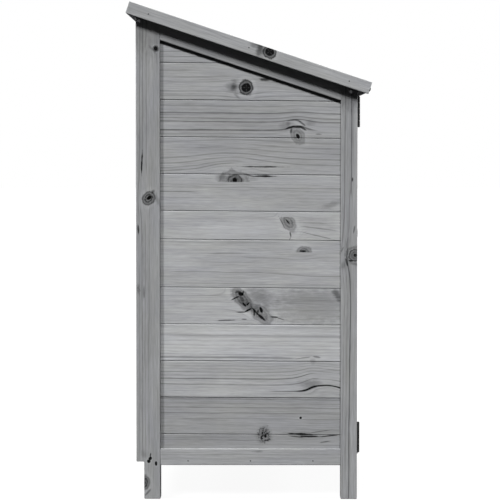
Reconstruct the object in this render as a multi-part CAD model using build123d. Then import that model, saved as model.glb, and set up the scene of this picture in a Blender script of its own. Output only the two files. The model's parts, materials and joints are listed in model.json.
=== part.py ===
from build123d import *
import os
from math import cos, radians, sin, tan

# A lean-to garden tool shed: a framed and boarded box on four posts, two doors, and a sloping felted roof.
# Everything is laid out from the front faces of the front posts (Y = 0, the doors face -Y) and moved at the
# end, so that the origin is on the ground under the middle of the roof.

# Frame
BODY_WIDTH = 686.0  # over the outer faces of the posts
FRAME_DEPTH = 512.0  # front face of the front posts to the back edge of the rear posts
FRONT_HEIGHT = 952.0  # underside of the roof deck above the front faces of the front posts
ROOF_PITCH = 18.435  # degrees, a rise of one in three
STOCK = 38.0  # square timber of the posts and rails
RAIL_CLEARANCE = 79.0  # ground to the underside of the bottom rails
FLANGE_REACH = 18.0  # rear post flange behind its square leg
FLANGE_THICKNESS = 16.0
FLANGE_FOOT = 87.0  # height at which the flange is cut away

# Matched boards
BOARD_THICKNESS = 12.0
BOARD_COVER = 85.4
WIDE_COVER = 111.2
NARROW_COVER = 66.2
FIRST_COVER = 35.7  # lowest side board above the bottom rail
LOWER_COURSE_COUNT = 4  # ordinary side boards between the lowest and the wide one
BOARD_RECESS = 11.0  # side boards behind the outer faces of the posts
BOARD_CHAMFER = 1.6
JOINT_GAP = 0.6
TONGUE_HEIGHT = 5.0
TONGUE_THICKNESS = 4.0
TONGUE_PLAY = 0.3
HOUSING_DEPTH = 8.0  # groove in posts, stiles and rails that houses the boards
HOUSING_PLAY = 0.2
HOUSING_END_PLAY = 1.0
FITTING_GAP = 0.5  # left round boards and cleats that are dropped in

# Roof
EAVES_FRONT = 26.3  # barge boards past the front posts, along the slope
EAVES_REAR = 20.7
EAVES_SIDE = 16.0  # deck past the outer faces of the posts
BARGE_WIDTH = 28.0
BARGE_THICKNESS = 16.0
BARGE_LIP = 5.0  # barge boards below the deck
DECK_THICKNESS = 12.0
DECK_COURSE_COUNT = 6
FELT_THICKNESS = 2.0
FELT_NOSE = 2.5  # felt past the front ends of the barge boards
FELT_RETURN = 14.0  # felt turned back under the deck
BATTEN_THICKNESS = 20.0

# Doors
DOOR_THICKNESS = 20.0
DOOR_GAP = 2.0  # round each door
MEETING_GAP = 3.0  # between the two doors
DOOR_HEAD_CLEARANCE = 2.4  # door below the front tips of the barge boards
DOOR_LAP = 15.0  # doors over the sill
HEADER_LAP = 18.0  # doors over the header
STOP_GAP = 0.5  # closed door to header and sill
HEADER_SETBACK = 2.0  # header above the doors behind the front faces of the posts
DOOR_STILE = 38.0
DOOR_RAIL = 38.0
DOOR_BOARD_RECESS = 4.0

# Hinges
HINGE_HEIGHT = 70.0
HINGE_MARGIN = 2.5  # hinge to the end of the door
LEAF_WIDTH = 26.0  # pin to the edge of a leaf
LEAF_THICKNESS = 2.0
KNUCKLE_RADIUS = 3.5
KNUCKLE_COUNT = 5
KNUCKLE_LIFT = 0.3  # knuckles clear of the face of the door
KNUCKLE_GAP = 0.4
PIN_RADIUS = 1.5
PIN_PLAY = 0.05
PIN_HEAD_RADIUS = 2.4
PIN_HEAD_HEIGHT = 1.0
HINGE_SCREW_OFFSET = 16.0  # screw line from the pin
HINGE_SCREW_PITCH = 24.0
HINGE_SCREW_COUNT = 3

# Sliding bolt, keeper, knobs and catches
BOLT_RADIUS = 4.0
BOLT_LENGTH = 80.0
BOLT_TRAVEL = 30.0
BOLT_SETBACK = 4.0  # tip of the drawn bolt from the middle of the shed
BOLT_PLAY = 0.2
BOLT_HANDLE_RADIUS = 3.0
BOLT_HANDLE_HEIGHT = 7.0  # above the bolt
BOLT_PLATE_LENGTH = 84.0
BOLT_PLATE_HEIGHT = 28.0
BOLT_PLATE_THICKNESS = 1.5
BOLT_PLATE_INSET = 3.0  # plate from the edge of the door
STRAP_THICKNESS = 2.0
STRAP_WIDTH = 10.0
STRAP_INSET = 6.0  # straps from the ends of the plate
KEEPER_PLAY = 1.0
KEEPER_INSET = 9.0  # keeper from the middle of the shed
KEEPER_WIDTH = 14.0
KEEPER_FOOT = 11.0
KNOB_RADIUS = 13.0
KNOB_HEIGHT = 14.0
KNOB_NECK_RADIUS = 7.0
KNOB_NECK_HEIGHT = 5.0
KNOB_RISE = 85.0  # knobs above the bolt
CATCH_LENGTH = 40.0
CATCH_SECTION = 14.0
CATCH_INSET = 6.0  # catches from the middle of the shed
CATCH_GAP = 0.5
STRIKE_THICKNESS = 1.0
STRIKE_HEIGHT = 11.0

# Floor and shelf
CLEAT_SECTION = 20.0
SHELF_HEIGHT = 520.0  # top of the shelf cleats
SHELF_CLEAT_SETBACK = 24.0
SHELF_BOARD_COUNT = 4
SHELF_BOARD_WIDTH = 78.0
SHELF_GAP = 8.0

# Fasteners
SCREW_HEAD_RADIUS = 4.0
SCREW_SHANK_RADIUS = 1.9
SCREW_LENGTH = 16.0
SCREW_PLAY = 0.1
SCREW_SLOT = 0.9
SCREW_SLOT_DEPTH = 0.8
OVERCUT = 1.0  # holes and slots are cut past the faces they open on
SMALL_SCREW_HEAD_RADIUS = 2.6
SMALL_SCREW_LENGTH = 12.0
SMALL_SCREW_INSET = 5.0  # from the edges of the bolt plate and the keeper's feet
FRAME_SCREW_HEAD_HEIGHT = 2.0
FRAME_SCREW_LENGTH = 50.0
FRAME_SCREW_DROP = 7.0  # below the lower edge of the barge board
REAR_SCREW_INSET = 8.0  # from the back edge of the rear post
FRONT_SCREW_INSET = 15.8  # from the front face of the front post
NAIL_HEAD_RADIUS = 1.5
NAIL_HEAD_PROUD = 0.3
NAIL_HEAD_THICKNESS = 1.0
NAIL_SHANK_RADIUS = 0.9
BARGE_NAIL_LENGTH = 35.0
BARGE_NAIL_INSET = 51.0
CLEAT_NAIL_LENGTH = 50.0
CLEAT_NAIL_INSET = 64.0  # outer cleat nails from the posts
ROW_NAIL_COUNT = 3
TACK_HEAD_RADIUS = 4.0
TACK_HEAD_HEIGHT = 1.0
TACK_SHANK_RADIUS = 1.2
TACK_LENGTH = 9.0
TACK_INSET = 12.0
CROSS_TACK_COUNT = 7
SIDE_TACK_COUNT = 5

# What follows from them
HALF = BODY_WIDTH / 2
INNER_HALF = HALF - STOCK
RAIL_TOP = RAIL_CLEARANCE + STOCK
REAR_LEG_BACK = FRAME_DEPTH - FLANGE_REACH
REAR_LEG_FRONT = REAR_LEG_BACK - STOCK
HOUSED = HOUSING_DEPTH - HOUSING_END_PLAY
RISE = tan(radians(ROOF_PITCH))
SLOPE_COS = cos(radians(ROOF_PITCH))
SLOPE_SIN = sin(radians(ROOF_PITCH))
REACH = 2 * (FRONT_HEIGHT + FRAME_DEPTH + BODY_WIDTH)  # longer than anything that is cut
ROOF = Location((0, 0, FRONT_HEIGHT), (ROOF_PITCH, 0, 0))  # Y up the slope, Z from the deck's underside
ROOF_FRONT = -EAVES_FRONT
ROOF_REAR = FRAME_DEPTH / SLOPE_COS + EAVES_REAR
DECK_HALF = HALF + EAVES_SIDE
BARGE_TOP = BARGE_WIDTH - BARGE_LIP
FELT_FRONT = ROOF_FRONT - FELT_NOSE
NOSE_CENTRE = FELT_FRONT + FELT_THICKNESS + DECK_THICKNESS / 2  # middle of the rounded front edge
DECK_REAR = ROOF_REAR - BARGE_THICKNESS
BARGE_TIP_HEIGHT = FRONT_HEIGHT + ROOF_FRONT * SLOPE_SIN - BARGE_LIP * SLOPE_COS
DEPTH_FRONT = ROOF_FRONT * SLOPE_COS - BARGE_TOP * SLOPE_SIN
DEPTH_REAR = ROOF_REAR * SLOPE_COS + BARGE_LIP * SLOPE_SIN
DEPTH_CENTRE = (DEPTH_FRONT + DEPTH_REAR) / 2
STOP_FRONT = DOOR_THICKNESS + STOP_GAP
DOOR_TOP = BARGE_TIP_HEIGHT - DOOR_HEAD_CLEARANCE
DOOR_BOTTOM = RAIL_TOP - DOOR_LAP
HEADER_BOTTOM = DOOR_TOP - HEADER_LAP
DOOR_MIDDLE = (DOOR_TOP + DOOR_BOTTOM) / 2
DOOR_OUTER = INNER_HALF - DOOR_GAP
DOOR_INNER = MEETING_GAP / 2
PIN_X = INNER_HALF - DOOR_GAP / 2
PIN_Y = -(KNUCKLE_RADIUS + KNUCKLE_LIFT)
HINGE_HEIGHTS = (
    DOOR_BOTTOM + HINGE_MARGIN + HINGE_HEIGHT / 2,
    DOOR_TOP - HINGE_MARGIN - HINGE_HEIGHT / 2,
)
BOLT_Y = -(BOLT_PLATE_THICKNESS + BOLT_PLAY + BOLT_RADIUS)
BOLT_PLATE_START = DOOR_INNER + BOLT_PLATE_INSET
LEFT = -1
RIGHT = 1


def block(x, y, z):
    """A box between two X, two Y and two Z values, given in either order."""
    sizes = [abs(end - start) for start, end in (x, y, z)]
    middle = [(start + end) / 2 for start, end in (x, y, z)]
    return Pos(*middle) * Box(*sizes)


def rod(radius, length):
    """A round bar that runs up from the origin along Z."""
    return Pos(0, 0, length / 2) * Cylinder(radius, length)


def from_outer_face(side, start, end):
    """Two X values, measured inwards from the outer face of the posts on one side."""
    return side * (HALF - start), side * (HALF - end)


def under_roof(piece, depth=0.0):
    """The piece without what stands higher than a given depth, square to the slope, under the deck."""
    return piece - ROOF * block((-REACH, REACH), (-REACH, REACH), (-depth, REACH))


def evenly(start, end, count):
    """Places from start to end, both included."""
    return [start + (end - start) * n / (count - 1) for n in range(count)]


# Matched boards

def matchboard(length, cover, groove, tongue, thickness=BOARD_THICKNESS):
    """A board along X, centred, with its chamfered face at Y = 0 and its lower edge at Z = 0."""
    low = JOINT_GAP / 2
    high = cover - JOINT_GAP / 2
    near = (thickness - TONGUE_THICKNESS) / 2
    far = near + TONGUE_THICKNESS
    outline = [(0, low + BOARD_CHAMFER), (0, high - BOARD_CHAMFER), (BOARD_CHAMFER, high)]
    if tongue:
        crest = high + TONGUE_HEIGHT
        outline += [(near, high), (near, crest), (far, crest), (far, high)]
    outline += [(thickness, high), (thickness, low)]
    if groove:
        bed = low + TONGUE_HEIGHT + TONGUE_PLAY
        wide = (near - TONGUE_PLAY, far + TONGUE_PLAY)
        outline += [(wide[1], low), (wide[1], bed), (wide[0], bed), (wide[0], low)]
    outline += [(BOARD_CHAMFER, low)]
    section = Plane(origin=(-length / 2, 0, 0), x_dir=(0, 1, 0), z_dir=(1, 0, 0))
    return extrude(section * make_face(Polyline(*outline, close=True)), amount=length)


def stack(length, covers):
    """Boards of the given covers, tongue up, each on the one below."""
    boards = []
    foot = 0.0
    for n, cover in enumerate(covers):
        board = matchboard(length, cover, groove=n > 0, tongue=n < len(covers) - 1)
        boards.append(Pos(0, 0, foot) * board)
        foot += cover
    return boards


def equal_courses(height):
    """Covers that fill a height with boards of about the ordinary width."""
    count = max(2, round(height / BOARD_COVER))
    return [height / count] * count


def housed_courses(height):
    """Equal courses whose first and last boards also reach into a groove."""
    covers = equal_courses(height)
    covers[0] += HOUSED
    covers[-1] += HOUSED
    return covers


# Posts, rails and boards of the two sides

def side_groove_x(side):
    return from_outer_face(
        side, BOARD_RECESS - HOUSING_PLAY, BOARD_RECESS + BOARD_THICKNESS + HOUSING_PLAY
    )


def side_tenon_x(side):
    return from_outer_face(side, BOARD_RECESS, BOARD_RECESS + BOARD_THICKNESS)


def front_post(side):
    """Square post with a groove for the side boards, its top cut to the slope of the roof."""
    post = block(from_outer_face(side, 0, STOCK), (0, STOCK), (0, FRONT_HEIGHT + STOCK))
    groove = block(side_groove_x(side), (STOCK - HOUSING_DEPTH, STOCK), (RAIL_CLEARANCE, REACH))
    return under_roof(post - groove)


def rear_post(side):
    """Square leg with a flange that covers the ends of the back boards and stops short of the ground."""
    top = FRONT_HEIGHT + FRAME_DEPTH
    leg = block(from_outer_face(side, 0, STOCK), (REAR_LEG_FRONT, REAR_LEG_BACK), (0, top))
    flange = block(
        from_outer_face(side, 0, FLANGE_THICKNESS), (REAR_LEG_BACK, FRAME_DEPTH), (FLANGE_FOOT, top)
    )
    groove = block(
        side_groove_x(side), (REAR_LEG_FRONT, REAR_LEG_FRONT + HOUSING_DEPTH), (RAIL_CLEARANCE, REACH)
    )
    return under_roof(leg + flange - groove)


def bottom_rail(side):
    """Rail between the posts, with stub tenons and a groove along its top."""
    height = (RAIL_CLEARANCE, RAIL_TOP)
    rail = block(from_outer_face(side, 0, STOCK), (STOCK, REAR_LEG_FRONT), height)
    tenons = block(side_tenon_x(side), (STOCK - HOUSED, REAR_LEG_FRONT + HOUSED), height)
    groove = block(side_groove_x(side), (0, FRAME_DEPTH), (RAIL_TOP - HOUSING_DEPTH, RAIL_TOP))
    return rail + tenons - groove


def top_rail(side):
    """Rail under the roof deck, sloping with it, with stub tenons and a groove along its underside."""
    slope = (-REACH, REACH)
    depth = (-STOCK, 0)
    rail = ROOF * block(from_outer_face(side, 0, STOCK), slope, depth)
    rail &= block((-REACH, REACH), (STOCK, REAR_LEG_FRONT), (0, REACH))
    tenons = ROOF * block(side_tenon_x(side), slope, depth)
    tenons &= block((-REACH, REACH), (STOCK - HOUSED, REAR_LEG_FRONT + HOUSED), (0, REACH))
    groove = ROOF * block(side_groove_x(side), slope, (-STOCK, HOUSING_DEPTH - STOCK))
    return rail + tenons - groove


def side_boards(side):
    """Boards from the bottom rail to the sloping top rail, their ends housed in the posts."""
    foot = RAIL_TOP - HOUSED
    top = FRONT_HEIGHT + REAR_LEG_FRONT * RISE - STOCK / SLOPE_COS + HOUSED
    covers = [FIRST_COVER + HOUSED] + [BOARD_COVER] * LOWER_COURSE_COUNT + [WIDE_COVER, NARROW_COVER]
    while foot + sum(covers) < top:
        covers.append(BOARD_COVER)
    place = Pos(side * (HALF - BOARD_RECESS), (STOCK + REAR_LEG_FRONT) / 2, foot) * Rot(0, 0, 90 * side)
    boards = stack(REAR_LEG_FRONT - STOCK + 2 * HOUSED, covers)
    return [under_roof(place * board, STOCK - HOUSED) for board in boards]


# Front and back of the frame

def front_header():
    """Rail over the doors, rebated so that they close under its upper part and against its lower part."""
    top = FRONT_HEIGHT + STOCK
    stop = block((-INNER_HALF, INNER_HALF), (STOP_FRONT, STOCK), (HEADER_BOTTOM, top))
    hood = block((-INNER_HALF, INNER_HALF), (HEADER_SETBACK, STOP_FRONT), (DOOR_TOP + DOOR_GAP, top))
    return under_roof(stop + hood)


def front_sill():
    return block((-INNER_HALF, INNER_HALF), (STOP_FRONT, STOCK), (RAIL_CLEARANCE, RAIL_TOP))


def back_top_rail():
    foot = FRONT_HEIGHT + REAR_LEG_FRONT * RISE - STOCK
    return under_roof(
        block((-INNER_HALF, INNER_HALF), (REAR_LEG_FRONT, REAR_LEG_BACK), (foot, foot + 2 * STOCK))
    )


def back_bottom_rail():
    return block(
        (-INNER_HALF, INNER_HALF), (REAR_LEG_FRONT, REAR_LEG_BACK), (RAIL_CLEARANCE, RAIL_TOP)
    )


def back_boards():
    """Boards nailed to the backs of the rear posts and rails, between the flanges."""
    length = 2 * (HALF - FLANGE_THICKNESS - FITTING_GAP)
    top = FRONT_HEIGHT + (REAR_LEG_BACK + BOARD_THICKNESS) * RISE
    place = Pos(0, REAR_LEG_BACK + BOARD_THICKNESS, FLANGE_FOOT) * Rot(0, 0, 180)
    boards = stack(length, equal_courses(top - FLANGE_FOOT))
    return [under_roof(place * board, FITTING_GAP) for board in boards]


# Floor and shelf

def floor_cleat(side):
    """Strip along the foot of the bottom rail that carries the ends of the floor boards."""
    return block(
        (side * INNER_HALF, side * (INNER_HALF - CLEAT_SECTION)),
        (STOCK, REAR_LEG_FRONT),
        (RAIL_CLEARANCE, RAIL_CLEARANCE + CLEAT_SECTION),
    )


def floor_boards():
    """Matched boards across the shed, face up, between the sill and the back bottom rail."""
    front = STOCK + FITTING_GAP
    depth = REAR_LEG_FRONT - FITTING_GAP - front
    height = RAIL_CLEARANCE + CLEAT_SECTION + BOARD_THICKNESS
    place = Pos(0, front, height) * Rot(-90, 0, 0)
    return [place * board for board in stack(2 * (INNER_HALF - FITTING_GAP), equal_courses(depth))]


def shelf_cleat(side):
    return block(
        (side * INNER_HALF, side * (INNER_HALF - CLEAT_SECTION)),
        (SHELF_CLEAT_SETBACK, REAR_LEG_BACK - FITTING_GAP),
        (SHELF_HEIGHT - CLEAT_SECTION, SHELF_HEIGHT),
    )


def shelf_boards():
    """Plain slats laid across the shelf cleats from the back forwards."""
    half = INNER_HALF - FITTING_GAP
    slats = []
    for n in range(SHELF_BOARD_COUNT):
        back = REAR_LEG_BACK - FITTING_GAP - n * (SHELF_BOARD_WIDTH + SHELF_GAP)
        depth = (back - SHELF_BOARD_WIDTH, back)
        slats.append(block((-half, half), depth, (SHELF_HEIGHT, SHELF_HEIGHT + BOARD_THICKNESS)))
    return slats


# Roof

def nose_section(radius):
    """Disc about the middle of the deck's rounded front edge."""
    return Pos(NOSE_CENTRE, DECK_THICKNESS / 2) * Circle(radius)


def across_roof(profile, half_width):
    """A profile drawn up the slope and square to it, drawn out from side to side of the roof."""
    section = Plane(origin=(-half_width, 0, 0), x_dir=(0, 1, 0), z_dir=(1, 0, 0))
    return ROOF * extrude(section * profile, amount=2 * half_width)


def slope_rectangle(start, end, low, high):
    return Pos((start + end) / 2, (low + high) / 2) * Rectangle(end - start, high - low)


def deck_boards():
    """Boards across the roof, their chamfered faces down; the front one has a rounded nose."""
    cover = (DECK_REAR - NOSE_CENTRE) / DECK_COURSE_COUNT
    boards = []
    for n in range(DECK_COURSE_COUNT):
        last = n == DECK_COURSE_COUNT - 1
        board = matchboard(2 * DECK_HALF, cover, groove=n > 0, tongue=not last, thickness=DECK_THICKNESS)
        boards.append(ROOF * Pos(0, DECK_REAR - n * cover, 0) * Rot(90, 0, 0) * board)
    boards[-1] += across_roof(nose_section(DECK_THICKNESS / 2), DECK_HALF)
    return boards


def roof_felt():
    """Sheet over the deck between the barge boards, folded round the front edge and back under it."""
    skin = nose_section(DECK_THICKNESS / 2 + FELT_THICKNESS)
    skin += slope_rectangle(NOSE_CENTRE, DECK_REAR, -FELT_THICKNESS, DECK_THICKNESS + FELT_THICKNESS)
    skin -= nose_section(DECK_THICKNESS / 2)
    skin -= slope_rectangle(NOSE_CENTRE, DECK_REAR, 0, DECK_THICKNESS)
    skin -= slope_rectangle(NOSE_CENTRE + FELT_RETURN, DECK_REAR, -FELT_THICKNESS, 0)
    return across_roof(skin, DECK_HALF - FITTING_GAP)


def barge_board(side):
    return ROOF * block(
        (side * DECK_HALF, side * (DECK_HALF + BARGE_THICKNESS)),
        (ROOF_FRONT, ROOF_REAR),
        (-BARGE_LIP, BARGE_TOP),
    )


def rear_fascia():
    return ROOF * block((-DECK_HALF, DECK_HALF), (DECK_REAR, ROOF_REAR), (-BARGE_LIP, BARGE_TOP))


def roof_batten(side):
    """Strip under the deck, inside the top rail, that keeps the roof in its place."""
    x = (side * INNER_HALF, side * (INNER_HALF - BATTEN_THICKNESS))
    strip = ROOF * block(x, (-REACH, REACH), (-STOCK, 0))
    return strip & block(
        (-REACH, REACH), (STOCK + FITTING_GAP, REAR_LEG_FRONT - FITTING_GAP), (0, REACH)
    )


# Doors

def door_groove_y():
    return DOOR_BOARD_RECESS - HOUSING_PLAY, DOOR_BOARD_RECESS + BOARD_THICKNESS + HOUSING_PLAY


def door_stile(outer, inwards):
    """Upright of a door. Its groove is on the edge that inwards points to, along X."""
    inner = outer + inwards * DOOR_STILE
    stile = block((outer, inner), (0, DOOR_THICKNESS), (DOOR_BOTTOM, DOOR_TOP))
    groove = block((inner, inner - inwards * HOUSING_DEPTH), door_groove_y(), (0, REACH))
    return stile - groove


def hinge_stile(side):
    return door_stile(side * DOOR_OUTER, -side)


def meeting_stile(side):
    return door_stile(side * DOOR_INNER, side)


def door_field_x(side):
    """The two X values between the stiles of a door."""
    return side * (DOOR_INNER + DOOR_STILE), side * (DOOR_OUTER - DOOR_STILE)


def door_rail(side, foot, groove_below, groove_above):
    """Cross rail of a door, with stub tenons and grooves on the edges that meet boards."""
    near, far = door_field_x(side)
    height = (foot, foot + DOOR_RAIL)
    rail = block((near, far), (0, DOOR_THICKNESS), height)
    thick = (DOOR_BOARD_RECESS, DOOR_BOARD_RECESS + BOARD_THICKNESS)
    rail += block((near - side * HOUSED, far + side * HOUSED), thick, height)
    wide = (-REACH, REACH)
    if groove_below:
        rail -= block(wide, door_groove_y(), (foot, foot + HOUSING_DEPTH))
    if groove_above:
        rail -= block(wide, door_groove_y(), (height[1] - HOUSING_DEPTH, height[1]))
    return rail


def door_boards(side):
    """Matched boards in the two fields of a door, below and above the lock rail."""
    near, far = door_field_x(side)
    length = abs(far - near) + 2 * HOUSED
    fields = (
        (DOOR_BOTTOM + DOOR_RAIL, DOOR_MIDDLE - DOOR_RAIL / 2),
        (DOOR_MIDDLE + DOOR_RAIL / 2, DOOR_TOP - DOOR_RAIL),
    )
    boards = []
    for foot, top in fields:
        place = Pos((near + far) / 2, DOOR_BOARD_RECESS, foot - HOUSED)
        boards += [place * board for board in stack(length, housed_courses(top - foot))]
    return boards


# Fasteners

def countersunk_screw(head_radius, length):
    """Screw whose flat head has its top at Z = 0, with a cross recess; the shank runs down."""
    sink = head_radius - SCREW_SHANK_RADIUS
    screw = Pos(0, 0, -sink / 2) * Cone(SCREW_SHANK_RADIUS, head_radius, sink)
    screw += Pos(0, 0, -length) * rod(SCREW_SHANK_RADIUS, length - sink)
    across = (-SCREW_SLOT / 2, SCREW_SLOT / 2)
    slot = block((-head_radius / 2, head_radius / 2), across, (-SCREW_SLOT_DEPTH, OVERCUT))
    for turn in (0, 90):
        screw -= Rot(0, 0, turn) * slot
    return screw


def screw_hole(head_radius, thickness):
    """Clearance for a countersunk screw in a plate whose outer face is at Z = 0."""
    wide = head_radius + SCREW_PLAY
    narrow = SCREW_SHANK_RADIUS + SCREW_PLAY
    sink = wide - narrow
    hole = Pos(0, 0, -sink / 2) * Cone(narrow, wide, sink)
    return hole + Pos(0, 0, -thickness - OVERCUT) * rod(narrow, thickness + OVERCUT)


def nail(length):
    """Pin nail with the top of its head at Z = 0; the shank runs down."""
    head = Pos(0, 0, -NAIL_HEAD_THICKNESS) * rod(NAIL_HEAD_RADIUS, NAIL_HEAD_THICKNESS)
    return head + Pos(0, 0, -length) * rod(NAIL_SHANK_RADIUS, length)


def facing_front(x, y, z):
    """Place on a front face for something whose own Z points out of that face."""
    return Pos(x, y, z) * Rot(90, 0, 0)


def facing_side(side, x, y, z):
    """Place on a side face for something whose own Z points out of that face."""
    return Pos(side * x, y, z) * Rot(0, 90 * side, 0)


def panel_pins():
    """Pins through the barge boards into the deck, and through the bottom rails into the floor cleats."""
    pins = []
    for side in (LEFT, RIGHT):
        out = DECK_HALF + BARGE_THICKNESS + NAIL_HEAD_PROUD
        for along in evenly(ROOF_FRONT + BARGE_NAIL_INSET, ROOF_REAR - BARGE_NAIL_INSET, ROW_NAIL_COUNT):
            middle = BARGE_TOP - BARGE_WIDTH / 2
            pins.append(ROOF * facing_side(side, out, along, middle) * nail(BARGE_NAIL_LENGTH))
        for along in evenly(STOCK + CLEAT_NAIL_INSET, REAR_LEG_FRONT - CLEAT_NAIL_INSET, ROW_NAIL_COUNT):
            height = RAIL_CLEARANCE + CLEAT_SECTION / 2
            place = facing_side(side, HALF + NAIL_HEAD_PROUD, along, height)
            pins.append(place * nail(CLEAT_NAIL_LENGTH))
    return pins


def frame_screws():
    """Round-headed screws near the tops of the posts: into the header in front, the back boards behind."""
    barge_foot = FRONT_HEIGHT - BARGE_LIP / SLOPE_COS
    head = Sphere(SCREW_HEAD_RADIUS) & block((-REACH, REACH), (-REACH, REACH), (0, FRAME_SCREW_HEAD_HEIGHT))
    screw = head + Pos(0, 0, -FRAME_SCREW_LENGTH) * rod(SCREW_SHANK_RADIUS, FRAME_SCREW_LENGTH)
    screws = []
    for side in (LEFT, RIGHT):
        for y in (FRONT_SCREW_INSET, FRAME_DEPTH - REAR_SCREW_INSET):
            height = barge_foot + y * RISE - FRAME_SCREW_DROP
            screws.append(facing_side(side, HALF, y, height) * screw)
    return screws


def felt_tacks():
    """Clout tacks round the edge of the felt."""
    top = DECK_THICKNESS + FELT_THICKNESS
    tack = rod(TACK_HEAD_RADIUS, TACK_HEAD_HEIGHT)
    tack += Pos(0, 0, -TACK_LENGTH) * rod(TACK_SHANK_RADIUS, TACK_LENGTH)
    front = FELT_FRONT + TACK_INSET + DECK_THICKNESS / 2
    rear = DECK_REAR - TACK_INSET
    edge = DECK_HALF - TACK_INSET
    places = [(x, y) for y in (front, rear) for x in evenly(-edge, edge, CROSS_TACK_COUNT)]
    places += [(x, y) for x in (-edge, edge) for y in evenly(front, rear, SIDE_TACK_COUNT)[1:-1]]
    return [ROOF * Pos(x, y, top) * tack for x, y in places]


# Hinges

def hinge_spans(middle, first):
    """Lower and upper ends of every other knuckle of a hinge, starting with the given one."""
    pitch = HINGE_HEIGHT / KNUCKLE_COUNT
    foot = middle - HINGE_HEIGHT / 2
    return [(foot + n * pitch, foot + (n + 1) * pitch) for n in range(first, KNUCKLE_COUNT, 2)]


def hinge_screw_places(side, outwards):
    """Where the screws of both hinges of a door sit, on the post (outwards 1) or on the door (-1)."""
    x = side * (PIN_X + outwards * HINGE_SCREW_OFFSET)
    reach = HINGE_SCREW_PITCH * (HINGE_SCREW_COUNT - 1) / 2
    return [
        facing_front(x, -LEAF_THICKNESS, middle + z)
        for middle in HINGE_HEIGHTS
        for z in evenly(-reach, reach, HINGE_SCREW_COUNT)
    ]


def hinge_leaf(side, outwards, middle):
    """Leaf with its own knuckles, notched for the other leaf's, bored for the pin."""
    pin_x = side * PIN_X
    away = side * outwards
    own, other = (0, 1) if outwards > 0 else (1, 0)
    height = (middle - HINGE_HEIGHT / 2, middle + HINGE_HEIGHT / 2)
    leaf = block((pin_x, pin_x + away * LEAF_WIDTH), (-LEAF_THICKNESS, 0), height)
    notch = KNUCKLE_RADIUS + KNUCKLE_GAP
    for low, high in hinge_spans(middle, other):
        leaf -= block((pin_x - away * notch, pin_x + away * notch), (PIN_Y, OVERCUT), (low, high))
    for low, high in hinge_spans(middle, own):
        low += KNUCKLE_GAP / 2 * (low > height[0])
        high -= KNUCKLE_GAP / 2 * (high < height[1])
        leaf += Pos(pin_x, PIN_Y, low) * rod(KNUCKLE_RADIUS, high - low)
    bore = rod(PIN_RADIUS + PIN_PLAY, HINGE_HEIGHT + 2 * OVERCUT)
    return leaf - Pos(pin_x, PIN_Y, height[0] - OVERCUT) * bore


def hinge_leaves(side, outwards):
    """The upper and lower leaf on a post or on a door, with their screw holes."""
    hole = screw_hole(SCREW_HEAD_RADIUS, LEAF_THICKNESS)
    holes = [place * hole for place in hinge_screw_places(side, outwards)]
    leaves = []
    for n, middle in enumerate(HINGE_HEIGHTS):
        leaf = hinge_leaf(side, outwards, middle)
        for own_hole in holes[n * HINGE_SCREW_COUNT : (n + 1) * HINGE_SCREW_COUNT]:
            leaf -= own_hole
        leaves.append(leaf)
    return leaves


def hinge_pins():
    """Headed pins through the knuckles of the four hinges."""
    head = rod(PIN_HEAD_RADIUS, PIN_HEAD_HEIGHT)
    pin = rod(PIN_RADIUS, HINGE_HEIGHT)
    pin += Pos(0, 0, HINGE_HEIGHT) * head
    pin += Pos(0, 0, -PIN_HEAD_HEIGHT) * head
    return [
        Pos(side * PIN_X, PIN_Y, middle - HINGE_HEIGHT / 2) * pin
        for side in (LEFT, RIGHT)
        for middle in HINGE_HEIGHTS
    ]


def hinge_screws(side, outwards):
    screw = countersunk_screw(SCREW_HEAD_RADIUS, SCREW_LENGTH)
    return [place * screw for place in hinge_screw_places(side, outwards)]


# Door furniture

def strap(width, half_tunnel, crown, foot):
    """Hat-shaped strap over the bolt: a tunnel along X and, where foot is not 0, two feet on the face."""
    leg = half_tunnel + STRAP_THICKNESS
    top = -(crown + STRAP_THICKNESS)
    hat = block((0, width), (top, 0), (-leg, leg))
    if foot:
        hat += block((0, width), (-STRAP_THICKNESS, 0), (-leg - foot, leg + foot))
    return hat - block((-OVERCUT, width + OVERCUT), (-crown, OVERCUT), (-half_tunnel, half_tunnel))


def bolt_plate_screw_places():
    ends = (SMALL_SCREW_INSET, BOLT_PLATE_LENGTH - SMALL_SCREW_INSET)
    rise = BOLT_PLATE_HEIGHT / 2 - SMALL_SCREW_INSET
    return [
        facing_front(BOLT_PLATE_START + x, -BOLT_PLATE_THICKNESS, DOOR_MIDDLE + z)
        for x in ends
        for z in (-rise, rise)
    ]


def bolt_plate():
    """Plate on the lock rail of the right door, with two straps that guide the bolt."""
    x = (BOLT_PLATE_START, BOLT_PLATE_START + BOLT_PLATE_LENGTH)
    z = (DOOR_MIDDLE - BOLT_PLATE_HEIGHT / 2, DOOR_MIDDLE + BOLT_PLATE_HEIGHT / 2)
    plate = block(x, (-BOLT_PLATE_THICKNESS, 0), z)
    crown = BOLT_RADIUS * 2 + BOLT_PLAY * 2
    guide = strap(STRAP_WIDTH, BOLT_RADIUS + BOLT_PLAY, crown, 0)
    for start in (x[0] + STRAP_INSET, x[1] - STRAP_INSET - STRAP_WIDTH):
        plate += Pos(start, -BOLT_PLATE_THICKNESS, DOOR_MIDDLE) * guide
    hole = screw_hole(SMALL_SCREW_HEAD_RADIUS, BOLT_PLATE_THICKNESS)
    for place in bolt_plate_screw_places():
        plate -= place * hole
    return plate


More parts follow.
